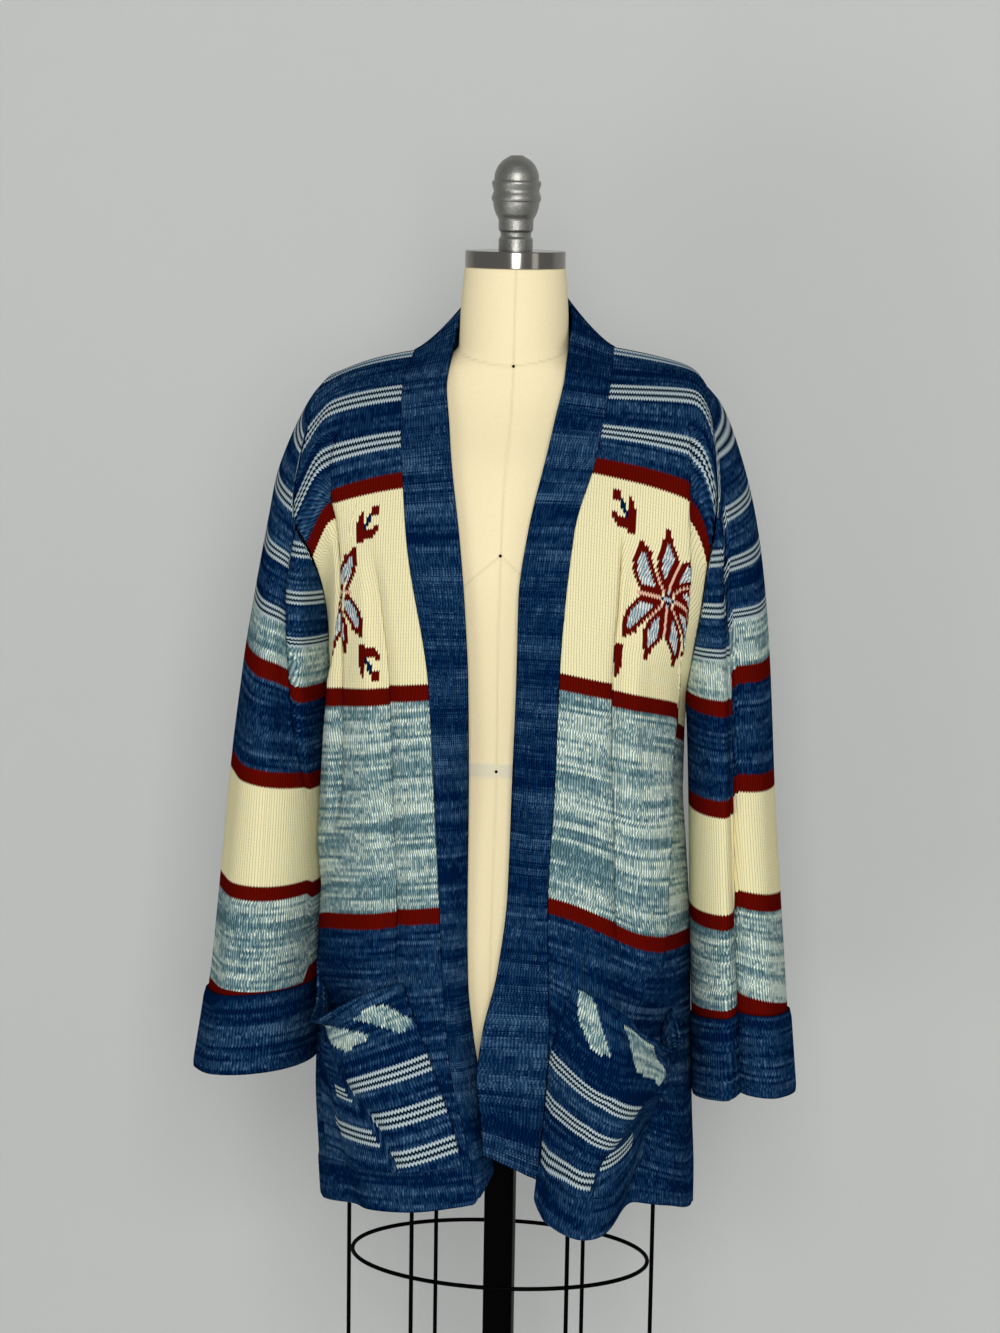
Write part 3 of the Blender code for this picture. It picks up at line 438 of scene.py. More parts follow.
# colours of the yarns, linear
yarns = {
    "navy": (0.0004, 0.0110, 0.0480), "navyLit": (0.0045, 0.0255, 0.0760),
    "skyDull": (0.0150, 0.0480, 0.1120),
    "sky": (0.0420, 0.0960, 0.1800), "blue": (0.0850, 0.1650, 0.1900), "blueLit": (0.1700, 0.2750, 0.2900),
    "mistDull": (0.3700, 0.4700, 0.4300), "mist": (0.5700, 0.6700, 0.5900),
    "rust": (0.1150, 0.0036, 0.0012), "cream": (0.9100, 0.8250, 0.4850), "white": (0.4500, 0.5400, 0.5600),
    "ink": (0.0030, 0.0150, 0.0320), "pink": (0.7800, 0.4700, 0.3300), "ice": (0.3700, 0.4500, 0.4700),
    "iceLit": (0.5600, 0.6100, 0.5900),
}
marls = {   # the shades of a marled yarn from dark to light, and how much of the cloth is dark
    "blueMarl": (("navy", "navyLit", "skyDull", "sky"), 0.10),
    "lightMarl": (("blue", "blueLit", "mistDull", "mist"), -0.02),
    "iceMarl": (("ice", "iceLit"), 0.0),
}
yarnNames = list(yarns)
plies = {shade for shades, darker in marls.values() for shade in shades}
yarnTable = np.array([(*yarns[name], 0.0 if name in plies else 1.0) for name in yarnNames])


def shuffle(*numbers):
    # an even spread of values from 0 to 1, the same for the same whole numbers
    value = np.zeros(np.broadcast(*numbers).shape, np.uint64)
    for number in numbers:
        whole = np.asarray(number, np.int64).astype(np.uint64)
        value = value + whole * np.uint64(0x9E3779B97F4A7C15) + np.uint64(1013)
        value = (value ^ value >> np.uint64(30)) * np.uint64(0xBF58476D1CE4E5B9)
        value = (value ^ value >> np.uint64(27)) * np.uint64(0x94D049BB133111EB)
        value = value ^ value >> np.uint64(31)
    return (value >> np.uint64(40)).astype(float) / 2 ** 24


def cloud(x, y, seed):
    # soft random patches, one unit wide and high
    left, low = np.floor(x), np.floor(y)
    t, u = ease(x - left), ease(y - low)
    return between(between(shuffle(left, low, seed), shuffle(left + 1, low, seed), t),
                   between(shuffle(left, low + 1, seed), shuffle(left + 1, low + 1, seed), t), u)


def marl(wale, course, name, seed):
    # streaks along the yarn where the darker or the lighter of its two plies shows most
    shades, darker = marls[name]
    streak = cloud(wale / 21 + shuffle(course, seed) * 90, course, seed + 1)
    patch = cloud(wale / 70, course / 6, seed + 2)
    grain = shuffle(wale, course, seed + 3) - 0.5
    level = 0.5 + 0.72 * (streak - 0.5) + 0.45 * (patch - 0.5) + 0.40 * grain - darker
    first = yarnNames.index(shades[0])
    return first + np.clip(np.floor(level * len(shades)), 0, len(shades) - 1).astype(int)


def rows(wale, course, plan, seed):
    # plan: (first course, yarn) in order down the cloth; a marl is a name of its own
    colour = np.zeros(wale.shape, int)
    for i, (first, name) in enumerate(plan):
        last = plan[i + 1][0] if i + 1 < len(plan) else 10 ** 6
        here = (course >= first) & (course < last)
        if name in marls:
            found = marl(wale, course, name, seed)
        elif name == "stripes":
            found = np.where((course - first) % 2 == 0, yarnNames.index("white"), yarnNames.index("ink"))
        elif name == "shoulder":
            found = np.where((course - first) % 2 == 0, yarnNames.index("white"), yarnNames.index("sky"))
        else:
            found = np.full(wale.shape, yarnNames.index(name))
        colour = np.where(here, found, colour)
    return colour


# one grid of cloth, one face for each stitch
def knit(name, points, wales, courses, shut, colourOf, wall, outward):
    # points[row][column]; wales and courses place each point in the cloth; shut marks those on a trimmed edge
    down, over = points.shape[0] - 1, points.shape[1] - 1
    shape = bmesh.new()
    bmesh.ops.create_grid(shape, x_segments=over, y_segments=down, size=0.5)
    shape.verts.ensure_lookup_table()
    place = [(round((0.5 - v.co.y) * down), round((v.co.x + 0.5) * over)) for v in shape.verts]
    for v, (i, j) in zip(shape.verts, place):
        v.co = points[i, j]
    row = np.array([min(place[v.index][0] for v in f.verts) for f in shape.faces])
    column = np.array([min(place[v.index][1] for v in f.verts) for f in shape.faces])
    firstWale = np.floor(np.minimum(wales[row, column], wales[row, column + 1]) + 0.02).astype(int)
    firstCourse = np.floor(courses[row, column] + 0.02).astype(int)
    here = yarnTable[colourOf(firstWale, firstCourse)]
    above = yarnTable[colourOf(firstWale, firstCourse - 1)]
    uv = shape.loops.layers.uv.new("cloth")
    stitch = shape.loops.layers.float_color.new("stitch")
    stitchAbove = shape.loops.layers.float_color.new("stitchAbove")
    for f, one, two in zip(shape.faces, here.tolist(), above.tolist()):
        for loop in f.loops:
            i, j = place[loop.vert.index]
            loop[uv].uv = (wales[i, j], courses[i, j])
            loop[stitch] = one
            loop[stitchAbove] = two
    gone = [f for f in shape.faces if all(shut[place[v.index]] for v in f.verts)]
    bmesh.ops.delete(shape, geom=gone, context="FACES")
    bmesh.ops.remove_doubles(shape, verts=shape.verts, dist=weldDistance)
    bmesh.ops.dissolve_degenerate(shape, edges=shape.edges, dist=0.00001)
    loose = [v for v in shape.verts if not v.link_faces]
    bmesh.ops.delete(shape, geom=loose, context="VERTS")
    shape.normal_update()
    score = sum(f.normal.dot(outward(f.calc_center_median())) for f in shape.faces)
    if score < 0:
        bmesh.ops.reverse_faces(shape, faces=shape.faces)
    thing = addObject(name, meshFrom(name, shape))
    shell = thing.modifiers.new("wall", "SOLIDIFY")
    shell.thickness = wall
    shell.offset = 0
    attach(thing, "root")
    return thing


def spread(first, last, count):
    return np.linspace(first, last, count + 1)


def layPleat(line, side, run):
    # folds a row under itself along the edge of the pleat
    pleat = read(pleats[side], run)
    over = float(pleat["over"])
    if over < 0.0005 or not pleats[side]["data"][0, 0] < run < pleats[side]["data"][-1, 0]:
        return line
    flat = inPlan(line)
    steps = stepsAlong(flat)
    edge = float(np.interp(pleat["place"], np.linspace(0, 1, len(line)), steps))
    gap = pleatGap * min(over / 0.006, 1)
    along = (0, edge - 0.040, edge - 0.016, edge - 0.001, edge, edge - 0.001, edge - over,
             edge - over - 0.001, edge - over, steps[-1])
    above = (0, 0, 1.6 * gap, 2.1 * gap, 1.6 * gap, gap, gap, gap / 2, 0, 0)
    path = np.append(0, np.cumsum(np.hypot(np.diff(along), np.diff(above))))
    fine = np.unique(np.concatenate([np.linspace(0, path[-1], 320), path]))
    at, lift = np.interp(fine, path, along), np.interp(fine, path, above)
    way = np.gradient(flat, axis=0)
    out = np.column_stack([way[:, 1], -way[:, 0], np.zeros(len(way))]) * signOf(side)
    out /= np.linalg.norm(out, axis=1)[:, None]
    return pointsAt(at, steps, line) + pointsAt(at, steps, out) * lift[:, None]


bodyPlan = ((0, "shoulder"), (3, "blueMarl"), (17, "stripes"), (22, "blueMarl"), (31, "stripes"),
            (36, "blueMarl"), (44, "rust"), (49, "cream"), (107, "rust"), (112, "lightMarl"), (175, "rust"),
            (180, "blueMarl"))


def makeFront(side):
    wale, course = garment["wale"], garment["course"]
    fine = np.linspace(0, 1, 241)
    runs = np.append(np.arange(0, garment["length"], course), garment["length"])
    lines = [layPleat(frontRow(side, run, fine), side, run) for run in runs]
    widths = np.array([np.linalg.norm(np.diff(inPlan(line), axis=0), axis=1).sum() for line in lines])
    seamX = read(fronts[side], runs)["seamX"]
    settled = float(read(fronts[side], neckEnd)["seamX"])
    starts = np.where(runs < neckEnd, np.maximum(seamX - settled, 0), 0)
    whole = float(np.interp((0.30, 0.36), runs, widths).max())
    ends = np.where(runs < neckEnd, np.minimum(starts + widths, whole), whole)
    inner, outer = {"right": (0.004, 0.055), "left": (0.007, 0.016)}[side]
    starts = starts + inner - np.sqrt(inner ** 2 - np.clip(runs - garment["length"] + inner, 0, inner) ** 2)
    ends = ends - outer + np.sqrt(outer ** 2 - np.clip(runs - garment["length"] + outer, 0, outer) ** 2)
    columns = int(math.ceil(whole / wale))
    points, wales, courses, shut = emptyGrid(len(runs), columns + 1)
    for i, (run, line) in enumerate(zip(runs, lines)):
        wanted = np.arange(columns + 1) * wale
        kept = np.clip(wanted, starts[i], ends[i])
        low, high = (starts[i], ends[i]) if run < 0.6 else (0.0, whole)
        share = (kept - low) / (high - low)
        steps = stepsAlong(inPlan(line))
        first, last = bandSeamGap / steps[-1], 1 - edgeTrim / steps[-1]
        at = between(first, last, share) * steps[-1]
        points[i] = pointsAt(at, steps, line)
        wales[i] = kept / wale
        courses[i] = run / course
        shut[i] = (wanted != kept) | (wanted <= starts[i]) & (starts[i] > 0) | (wanted >= ends[i])
    sign = signOf(side)
    chart = motifs[side]

    def colourOf(waleAt, courseAt):
        colour = rows(waleAt, courseAt, bodyPlan, seeds["front"][side])
        for motif in chart:
            colour = stamp(colour, waleAt, courseAt, **motif)
        return colour

    thing = knit("front_" + side + "_knit", points, wales, courses, shut, colourOf, garment["cloth"],
                 lambda p: Vector((sign * 0.4, -1, 0)))
    return thing, whole


def stamp(colour, wale, course, chart, wale0, course0, flop=False):
    picture = charts[chart]
    high, wide = len(picture), len(picture[0])
    x = wale - wale0
    y = course - course0
    if flop:
        y = high - 1 - y
    inside = (x >= 0) & (x < wide) & (y >= 0) & (y < high)
    codes = np.array([[ord(c) for c in line] for line in picture])
    found = codes[np.clip(y, 0, high - 1), np.clip(x, 0, wide - 1)]
    for letter, name in (("r", "rust"), ("p", "pink"), ("n", "navy"), ("w", "white")):
        colour = np.where(inside & (found == ord(letter)), yarnNames.index(name), colour)
    colour = np.where(inside & (found == ord("i")), marl(wale, course, "iceMarl", 5), colour)
    return colour


def mirrored(quarter):
    # a whole star from its upper right quarter, whose last row and first column are the star's middle
    half = [row[:0:-1] + row for row in quarter]
    return half + half[-2::-1]


# r rust, i ice, p pink, w white, n navy, and cream elsewhere
charts = {
    "star": mirrored((
        "......rr.........",
        "......rr.........",
        ".....rrr.........",
        ".....rrrr........",
        "....rrirr........",
        "...rriirr......rr",
        "..rriiirr....rrrr",
        ".rriiiirr..rrrrrr",
        "prriiiirr..rriirr",
        "prriiirr..rriiirr",
        "prriiirr.rriiiirr",
        "prriirr.rriiiirr.",
        "prrirrprriiiiirr.",
        "prrrrprriiiiirr..",
        "prrrprriiiiirr...",
        "prrprriiiiirr....",
        "wrprrrrrrrrr.....",
        "nr.rrrrrrrr......",
        "wwnppppppppp.....")),
    "corner": (
        "rrr......",
        "rrr...r..",
        "rrrn..rr.",
        "...nn.rr.",
        "...nn.rrr",
        "....nnrrr",
        "rr...nrrr",
        "rrrrrrrrr",
        ".rrrrrrrr",
        "..rrrrrrr",
        "......rrr"),
}
motifs = {
    "left": ({"chart": "star", "wale0": 28, "course0": 59}, {"chart": "corner", "wale0": 17, "course0": 52},
             {"chart": "corner", "wale0": 20, "course0": 93, "flop": True}),
    "right": ({"chart": "star", "wale0": 30, "course0": 60}, {"chart": "corner", "wale0": 21, "course0": 53},
              {"chart": "corner", "wale0": 23, "course0": 94, "flop": True}),
}


# knitted material: each stitch is a V of two slanting legs, its yarn colour darkened in the grooves between
# legs and rows as painted shade
knitLook = {"slant": 0.72, "plies": (0.62, 0.50, 0.40), "relief": 0.0009, "groove": 0.52, "fuzz": 0.12,
            "roughness": 1.0}


class Nodes:
    def __init__(self, material):
        self.tree = material.node_tree
        self.shader = self.tree.nodes["Principled BSDF"]

    def add(self, kind, **settings):
        node = self.tree.nodes.new(kind)
        for key, value in settings.items():
            setattr(node, key, value)
        return node

    def put(self, value, socket):
        if isinstance(value, bpy.types.NodeSocket):
            self.tree.links.new(value, socket)
        else:
            socket.default_value = value

    def math(self, operation, *values):
        node = self.add("ShaderNodeMath", operation=operation)
        for value, socket in zip(values, node.inputs):
            self.put(value, socket)
        return node.outputs[0]

    def times(self, one, two):
        return self.math("MULTIPLY", one, two)

    def plus(self, one, two):
        return self.math("ADD", one, two)

    def minus(self, one, two):
        return self.math("SUBTRACT", one, two)

    def sine(self, value):
        return self.math("SINE", value)

    def mix(self, kind, share, one, two, blend="MIX"):
        node = self.add("ShaderNodeMix", data_type=kind, blend_type=blend) if kind == "RGBA" else \
            self.add("ShaderNodeMix", data_type=kind)
        slots = {"RGBA": (6, 7, 2), "FLOAT": (2, 3, 0)}[kind]
        self.put(share, node.inputs[0])
        self.put(one, node.inputs[slots[0]])
        self.put(two, node.inputs[slots[1]])
        return node.outputs[slots[2]]


def knitMaterial(name):
    material = bpy.data.materials.new(name)
    material.use_nodes = True
    n = Nodes(material)
    place = n.add("ShaderNodeSeparateXYZ")
    n.put(n.add("ShaderNodeUVMap", uv_map="cloth").outputs[0], place.inputs[0])
    x, y = place.outputs[0], place.outputs[1]
    inWale = n.math("FRACT", x)
    fromMiddle = n.math("ABSOLUTE", n.minus(n.times(inWale, 2.0), 1.0))
    lean = n.times(n.minus(1.0, fromMiddle), knitLook["slant"])
    inCourse = n.math("FRACT", y)
    isAbove = n.math("LESS_THAN", inCourse, lean)
    here = n.add("ShaderNodeAttribute", attribute_name="stitch").outputs
    above = n.add("ShaderNodeAttribute", attribute_name="stitchAbove").outputs
    colour = n.mix("RGBA", isAbove, here["Color"], above["Color"])
    plain = n.mix("FLOAT", isAbove, here["Alpha"], above["Alpha"])
    # a marled yarn shows one ply on one leg of the stitch and the other ply on the other leg
    pools = n.add("ShaderNodeTexNoise", noise_dimensions="2D")
    stretch = n.add("ShaderNodeVectorMath", operation="MULTIPLY")
    n.put(n.add("ShaderNodeUVMap", uv_map="cloth").outputs[0], stretch.inputs[0])
    stretch.inputs[1].default_value = (0.05, 0.24, 1)
    n.put(stretch.outputs[0], pools.inputs["Vector"])
    pools.inputs["Scale"].default_value = 1
    swap = n.minus(n.times(n.math("GREATER_THAN", pools.outputs[0], 0.5), 2.0), 1.0)
    ply = n.times(n.sine(n.times(x, 2 * math.pi)), swap)
    ply = n.times(ply, n.minus(1.0, plain))
    tone = n.add("ShaderNodeCombineXYZ")
    for i, strength in enumerate(knitLook["plies"]):
        n.put(n.plus(n.times(ply, strength), 1.0), tone.inputs[i])
    twisted = n.add("ShaderNodeVectorMath", operation="MULTIPLY")
    n.put(colour, twisted.inputs[0])
    n.put(tone.outputs[0], twisted.inputs[1])
    colour = twisted.outputs[0]
    along = n.math("FRACT", n.plus(n.minus(y, lean), 4.0))
    rope = n.math("POWER", n.plus(n.sine(n.times(along, math.pi)), 0.02), 0.6)
    ribs = n.math("POWER", n.math("ABSOLUTE", n.sine(n.times(x, math.pi))), 0.8)
    legs = n.math("POWER", n.math("ABSOLUTE", n.sine(n.times(x, 2 * math.pi))), 0.6)
    across = n.plus(n.times(ribs, 0.65), n.times(legs, 0.35))
    height = n.times(across, n.plus(n.times(rope, 0.45), 0.55))
    fuzz = n.add("ShaderNodeTexNoise", noise_dimensions="3D")
    n.put(n.add("ShaderNodeTexCoord").outputs["Object"], fuzz.inputs["Vector"])
    fuzz.inputs["Scale"].default_value = 1900
    fuzz.inputs["Detail"].default_value = 2
    # painted shade: the yarn colour darkens where the stitch relief is low, in the grooves between legs and
    # between rows; the fuzz adds a random tone
    dark = n.plus(n.times(height, knitLook["groove"]), 1 - knitLook["groove"] * 0.8)
    dark = n.times(dark, n.plus(n.times(fuzz.outputs[0], 2 * knitLook["fuzz"]),
                                          1 - knitLook["fuzz"]))
    shaded = n.add("ShaderNodeVectorMath", operation="SCALE")
    n.put(colour, shaded.inputs[0])
    n.put(dark, shaded.inputs["Scale"])
    n.put(shaded.outputs[0], n.shader.inputs["Base Color"])
    relief = n.add("ShaderNodeBump")
    relief.inputs["Strength"].default_value = 0.7
    relief.inputs["Distance"].default_value = knitLook["relief"]
    n.put(n.plus(height, n.times(fuzz.outputs[0], 0.25)), relief.inputs["Height"])
    n.put(relief.outputs[0], n.shader.inputs["Normal"])
    n.shader.inputs["Roughness"].default_value = knitLook["roughness"]
    n.shader.inputs["Specular IOR Level"].default_value = 0.0
    return material


knitted = knitMaterial("knitted wool")

for side in ("right", "left"):
    front, width = makeFront(side)
    front.data.materials.append(knitted)
    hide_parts("front_" + side)
    print("front", side, "knitted", round(width, 3), "m wide", len(front.data.polygons), "stitches")

# the sleeves
# rows of a sleeve's cloth: run from the cap, and height outside, at either side of the crease, at the body
sleeveLines = {
    "right": curve(
        "run outer before after body",
        (0.000, 1.4040, 1.4040, 1.4040, 1.4040), (0.051, 1.3900, 1.3480, 1.3100, 1.3000),
        (0.066, 1.3700, 1.3340, 1.2950, 1.2850), (0.105, 1.3310, 1.2995, 1.2600, 1.2520),
        (0.120, 1.3170, 1.2845, 1.2460, 1.2390), (0.159, 1.2790, 1.2463, 1.2145, 1.2100),
        (0.174, 1.2640, 1.2340, 1.2025, 1.1980), (0.213, 1.2230, 1.1930, 1.1710, 1.1680),
        (0.228, 1.2080, 1.1800, 1.1620, 1.1590), (0.264, 1.1700, 1.1410, 1.1250, 1.1240),
        (0.279, 1.1520, 1.1235, 1.1100, 1.1090), (0.357, 1.0590, 1.0440, 1.0415, 1.0410),
        (0.372, 1.0430, 1.0290, 1.0255, 1.0250), (0.468, 0.9400, 0.9390, 0.9350, 0.9350),
        (0.483, 0.9250, 0.9255, 0.9190, 0.9190), (0.570, 0.8340, 0.8380, 0.8530, 0.8560)),
    "left": curve(
        "run outer before after body",
        (0.000, 1.4040, 1.4040, 1.4040, 1.4040), (0.051, 1.3920, 1.3640, 1.3250, 1.3040),
        (0.066, 1.3600, 1.3440, 1.3050, 1.2890), (0.105, 1.3190, 1.3020, 1.2650, 1.2580),
        (0.120, 1.3060, 1.2890, 1.2505, 1.2440), (0.159, 1.2690, 1.2570, 1.2170, 1.2150),
        (0.174, 1.2560, 1.2440, 1.2040, 1.2020), (0.213, 1.2160, 1.2090, 1.1755, 1.1750),
        (0.228, 1.2050, 1.1990, 1.1645, 1.1650), (0.264, 1.1625, 1.1590, 1.1290, 1.1320),
        (0.279, 1.1445, 1.1430, 1.1140, 1.1180), (0.357, 1.0565, 1.0610, 1.0395, 1.0380),
        (0.372, 1.0400, 1.0445, 1.0230, 1.0230), (0.468, 0.9395, 0.9530, 0.9340, 0.9300),
        (0.483, 0.9220, 0.9370, 0.9190, 0.9160), (0.570, 0.8320, 0.8580, 0.8440, 0.8335)),
}
creases = {   # the sharp crease of each sleeve: its angle by height, and the heights between which it runs
    "right": {"line": curve("z angle", (1.40, 84), (1.284, 90), (1.229, 90), (1.184, 104), (1.139, 118),
                            (1.114, 124), (1.054, 136), (0.98, 150), (0.70, 156)),
              "top": 1.33, "foot": 1.01, "depth": 0.007, "half": 5.0},
    "left": {"line": curve("z angle", (1.40, 68), (1.254, 70), (1.159, 62), (1.074, 63), (0.979, 66),
                           (0.884, 74), (0.774, 96), (0.70, 98)),
             "top": 1.33, "foot": 0.60, "depth": 0.007, "half": 5.0},
}
sleeveFolds = {
    "right": ((84.0, 128.0, 1.30, 1.02, 44.0, 20.0, -0.010, -0.010),
              (250.0, 262.0, 1.24, 0.86, 20.0, 30.0, -0.010, -0.008),
              (40.0, 30.0, 1.16, 0.70, 30.0, 30.0, -0.003, -0.003)),
    "left": ((72.0, 94.0, 1.28, 0.60, 46.0, 16.0, -0.012, -0.034),
             (258.0, 248.0, 1.22, 0.84, 24.0, 26.0, -0.011, -0.009),
             (315.0, 325.0, 1.18, 0.80, 26.0, 26.0, -0.005, -0.004)),
}
sleevePlan = ((0, "blueMarl"), (17, "stripes"), (22, "blueMarl"), (35, "stripes"), (40, "blueMarl"),
              (53, "stripes"), (58, "blueMarl"), (71, "stripes"), (76, "lightMarl"), (88, "rust"),
              (93, "blueMarl"), (119, "rust"), (124, "cream"), (156, "rust"), (161, "lightMarl"),
              (190, "rust"))


def sleeveRow(side, z, angle):
    x, y = ovalPoint(side, z, angle)
    row = read(sleeves[side], z)
    turn = np.radians(angle)
    half = (row["outer"] - row["inner"]) / 2
    out = np.column_stack([signOf(side) * np.cos(turn) / half, -np.sin(turn) / row["depth"]])
    out /= np.linalg.norm(out, axis=1)[:, None]
    depth = np.zeros(len(angle))
    for top, foot, start, end, outer, inner, deepTop, deepFoot in sleeveFolds[side]:
        fade = ease((start - z) / 0.06)
        if end > 0.72:
            fade = fade * ease((z - end) / 0.08)
        along = np.clip((start - z) / (start - end), 0, 1)
        away = angle - between(top, foot, along)
        depth += between(deepTop, deepFoot, along) * fade * bump(away, outer, inner)
    crease = creases[side]
    fade = ease((crease["top"] - z) / 0.05) * ease((z - crease["foot"]) / 0.08)
    away = angle - read(crease["line"], z)["angle"]
    depth -= crease["depth"] * fade * bump(away, crease["half"], crease["half"])
    return np.column_stack([x + out[:, 0] * depth, y + out[:, 1] * depth, z])


def sleeveAngles(side):
    # one column for each wale, closer where the crease takes up cloth, from the underarm seam all round
    fine = np.linspace(0, 360, 721)
    total = np.zeros(len(fine))
    for z in (1.20, 1.10, 1.00, 0.90):
        line = sleeveRow(side, np.full(len(fine), z), fine)
        total[1:] += np.cumsum(np.linalg.norm(np.diff(line, axis=0), axis=1)) / 4
    columns = int(round(total[-1] / garment["wale"]))
    angle = np.interp(np.linspace(0, total[-1], columns + 1), total, fine)
    seam = int(np.searchsorted(angle, 180))
    order = np.append(np.arange(seam, columns), np.arange(seam + 1))
    wales = np.append(np.arange(seam, columns) - columns, np.arange(seam + 1))
    return angle[order], wales.astype(float), total[-1]


def sleeveHeights(side, run, angle):
    row = readOne(sleeveLines[side], run)
    middle = (row["before"] + row["after"]) / 2
    crease = float(read(creases[side]["line"], middle)["angle"])
    stops = (0, crease - 4, crease + 4, 180, 225, 270, 315, 360)
    heights = [row["outer"], row["before"], row["after"], row["body"]]
    heights += [between(row["body"], row["outer"], float(ease(t))) for t in (0.25, 0.5, 0.75, 1.0)]
    z = np.interp(angle, stops, heights)
    end = cuffEdge(side, angle) + garment["cuffLength"] + garment["gap"] / 2
    past = (run - 0.570) / 0.015
    return between(z, end, min(past, 1)) if past > 0 else z


def makeSleeve(side):
    angle, wales, around = sleeveAngles(side)
    runs = np.append(np.arange(0, garment["sleeveLength"], garment["course"]), garment["sleeveLength"])
    top = armholeHeight(side, np.minimum(angle, 360 - angle))
    count = (len(runs), len(angle))
    points, shut = np.zeros((*count, 3)), np.zeros(count, bool)
    for i, run in enumerate(runs):
        z = sleeveHeights(side, run, angle)
        shut[i] = z >= top
        points[i] = sleeveRow(side, np.minimum(z, top) - edgeTrim, angle)
    wales = np.broadcast_to(wales, count)
    courses = np.broadcast_to((runs / garment["course"])[:, None], count)
    middle = np.mean([sleeves[side]["data"][:, 1].mean(), sleeves[side]["data"][:, 2].mean()]) * signOf(side)
    return knit("sleeve_" + side + "_knit", points, wales, courses, shut,
                lambda w, c: rows(w, c, sleevePlan, seeds["sleeve"][side]), garment["cloth"],
                lambda p: Vector((p.x - middle, p.y, 0))), around, middle


def makeCuff(side, middle):
    angle, wales, _ = sleeveAngles(side)
    runs = np.arange(garment["cuffCourses"] + 1) / garment["cuffCourses"]
    count = (len(runs), len(angle))
    points = np.zeros((*count, 3))
    end = cuffEdge(side, angle)
    turn = np.radians(angle)
    step = garment["cuffStep"] * (1 - 0.9 * bump(angle - 180, 60, 60))
    for i, run in enumerate(runs):
        z = between(end + garment["cuffLength"] - garment["gap"] / 2, end, run)
        curl = step * (1 - 0.35 * (1 - ease(run / 0.10))) - 0.0008 * float(ease((run - 0.93) / 0.07))
        points[i] = sleeveRow(side, z, angle)
        points[i, :, 0] += signOf(side) * np.cos(turn) * curl
        points[i, :, 1] -= np.sin(turn) * curl
    wales = np.broadcast_to(wales, count)
    courses = np.broadcast_to((runs * garment["cuffCourses"])[:, None], count)
    return knit("cuff_" + side + "_knit", points, wales, courses, np.zeros(count, bool),
                lambda w, c: rows(w, c, ((0, "blueMarl"),), seeds["cuff"][side]), garment["cuffCloth"],
                lambda p: Vector((p.x - middle, p.y, 0)))


for side in ("right", "left"):
    sleeve, around, middle = makeSleeve(side)
    sleeve.data.materials.append(knitted)
    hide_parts("sleeve_" + side)
    cuff = makeCuff(side, middle)
    cuff.data.materials.append(knitted)
    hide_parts("cuff_" + side)
    print("sleeve and cuff", side, "knitted", round(around, 3), "m round")


# the back
def makeBack():
    wale, course = garment["backWale"], garment["backCourse"]
    fine = np.linspace(-1, 1, 401)
    top = backTop(fine)
    runs = np.append(np.arange(0, garment["backLength"], course), garment["backLength"])
    lines = [backRow(run, fine, top) for run in runs]
    steps = []
    for line in lines:
        along = stepsAlong(inPlan(line))
        steps.append(along - along[200])
    whole = steps[int(0.36 / course)]
    half = math.ceil(max(-whole[0], whole[-1]) / wale)
    wanted = np.arange(-half, half + 1) * wale
    points, wales, courses, shut = emptyGrid(len(runs), len(wanted))
    for i, (run, line, along) in enumerate(zip(runs, lines, steps)):
        low, high = (along[0], along[-1]) if run < 0.36 else (whole[0], whole[-1])
        kept = np.clip(wanted, low, high)
        scaled = np.where(kept < 0, kept / -low * -along[0], kept / high * along[-1])
        scaled = np.clip(scaled, along[0] + edgeTrim, along[-1] - edgeTrim)
        points[i] = pointsAt(scaled, along, line)
        wales[i] = kept / wale + half
        courses[i] = run / course
        shut[i] = (wanted < low) | (wanted > high)
    plan = tuple((round(first * garment["course"] / course), name) for first, name in bodyPlan)
    thing = knit("back_knit", points, wales, courses, shut, lambda w, c: rows(w, c, plan, seeds["back"]),
                 garment["cloth"], lambda p: Vector((0, 1, 0)))
    return thing, -whole[0] + whole[-1]


back, width = makeBack()
back.data.materials.append(knitted)
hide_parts("back")
print("back knitted", round(width, 3), "m wide")


# the front band
bandEdges = {
    "right": curve(
        "run x y rise round",
        (0.000, 0.0522, -0.004, 0.017, 0.000), (0.052, 0.0534, -0.052, 0.008, 0.001),
        (0.092, 0.0480, -0.073, 0.008, 0.001), (0.131, 0.0425, -0.091, 0.006, 0.001),
        (0.200, 0.0315, -0.1095, 0.003, 0.001), (0.260, 0.0253, -0.1165, 0.000, 0.001),
        (0.322, 0.0230, -0.1130, 0.000, 0.003), (0.430, 0.0223, -0.1070, 0.000, 0.005),
        (0.526, 0.0218, -0.1100, 0.000, 0.005), (0.600, 0.0200, -0.1120, 0.000, 0.005),
        (0.650, 0.0148, -0.1110, 0.000, 0.006), (0.690, 0.0088, -0.1100, 0.000, 0.007),
        (0.740, 0.0010, -0.1080, 0.000, 0.008), (0.780, -0.0045, -0.1055, 0.004, 0.008),
        (0.803, -0.0060, -0.1050, 0.020, 0.008)),
    "left": curve(
        "run x y rise round",
        (0.000, 0.0520, -0.002, 0.016, 0.000), (0.052, 0.0525, -0.055, 0.007, 0.001),
        (0.092, 0.0475, -0.078, 0.005, 0.001), (0.131, 0.0425, -0.090, 0.003, 0.001),
        (0.200, 0.0290, -0.1080, 0.000, 0.001), (0.260, 0.0225, -0.1170, 0.000, 0.001),
        (0.322, 0.0222, -0.1160, 0.000, 0.002), (0.430, 0.0195, -0.1120, 0.000, 0.004),
        (0.526, 0.0178, -0.1180, 0.000, 0.003), (0.600, 0.0098, -0.1230, 0.000, 0.001),
        (0.660, -0.0030, -0.1310, 0.000, 0.000), (0.700, -0.0062, -0.1370, 0.004, 0.000),
        (0.755, -0.0020, -0.1400, 0.020, 0.000), (0.790, 0.0010, -0.1400, 0.031, 0.000)),
}


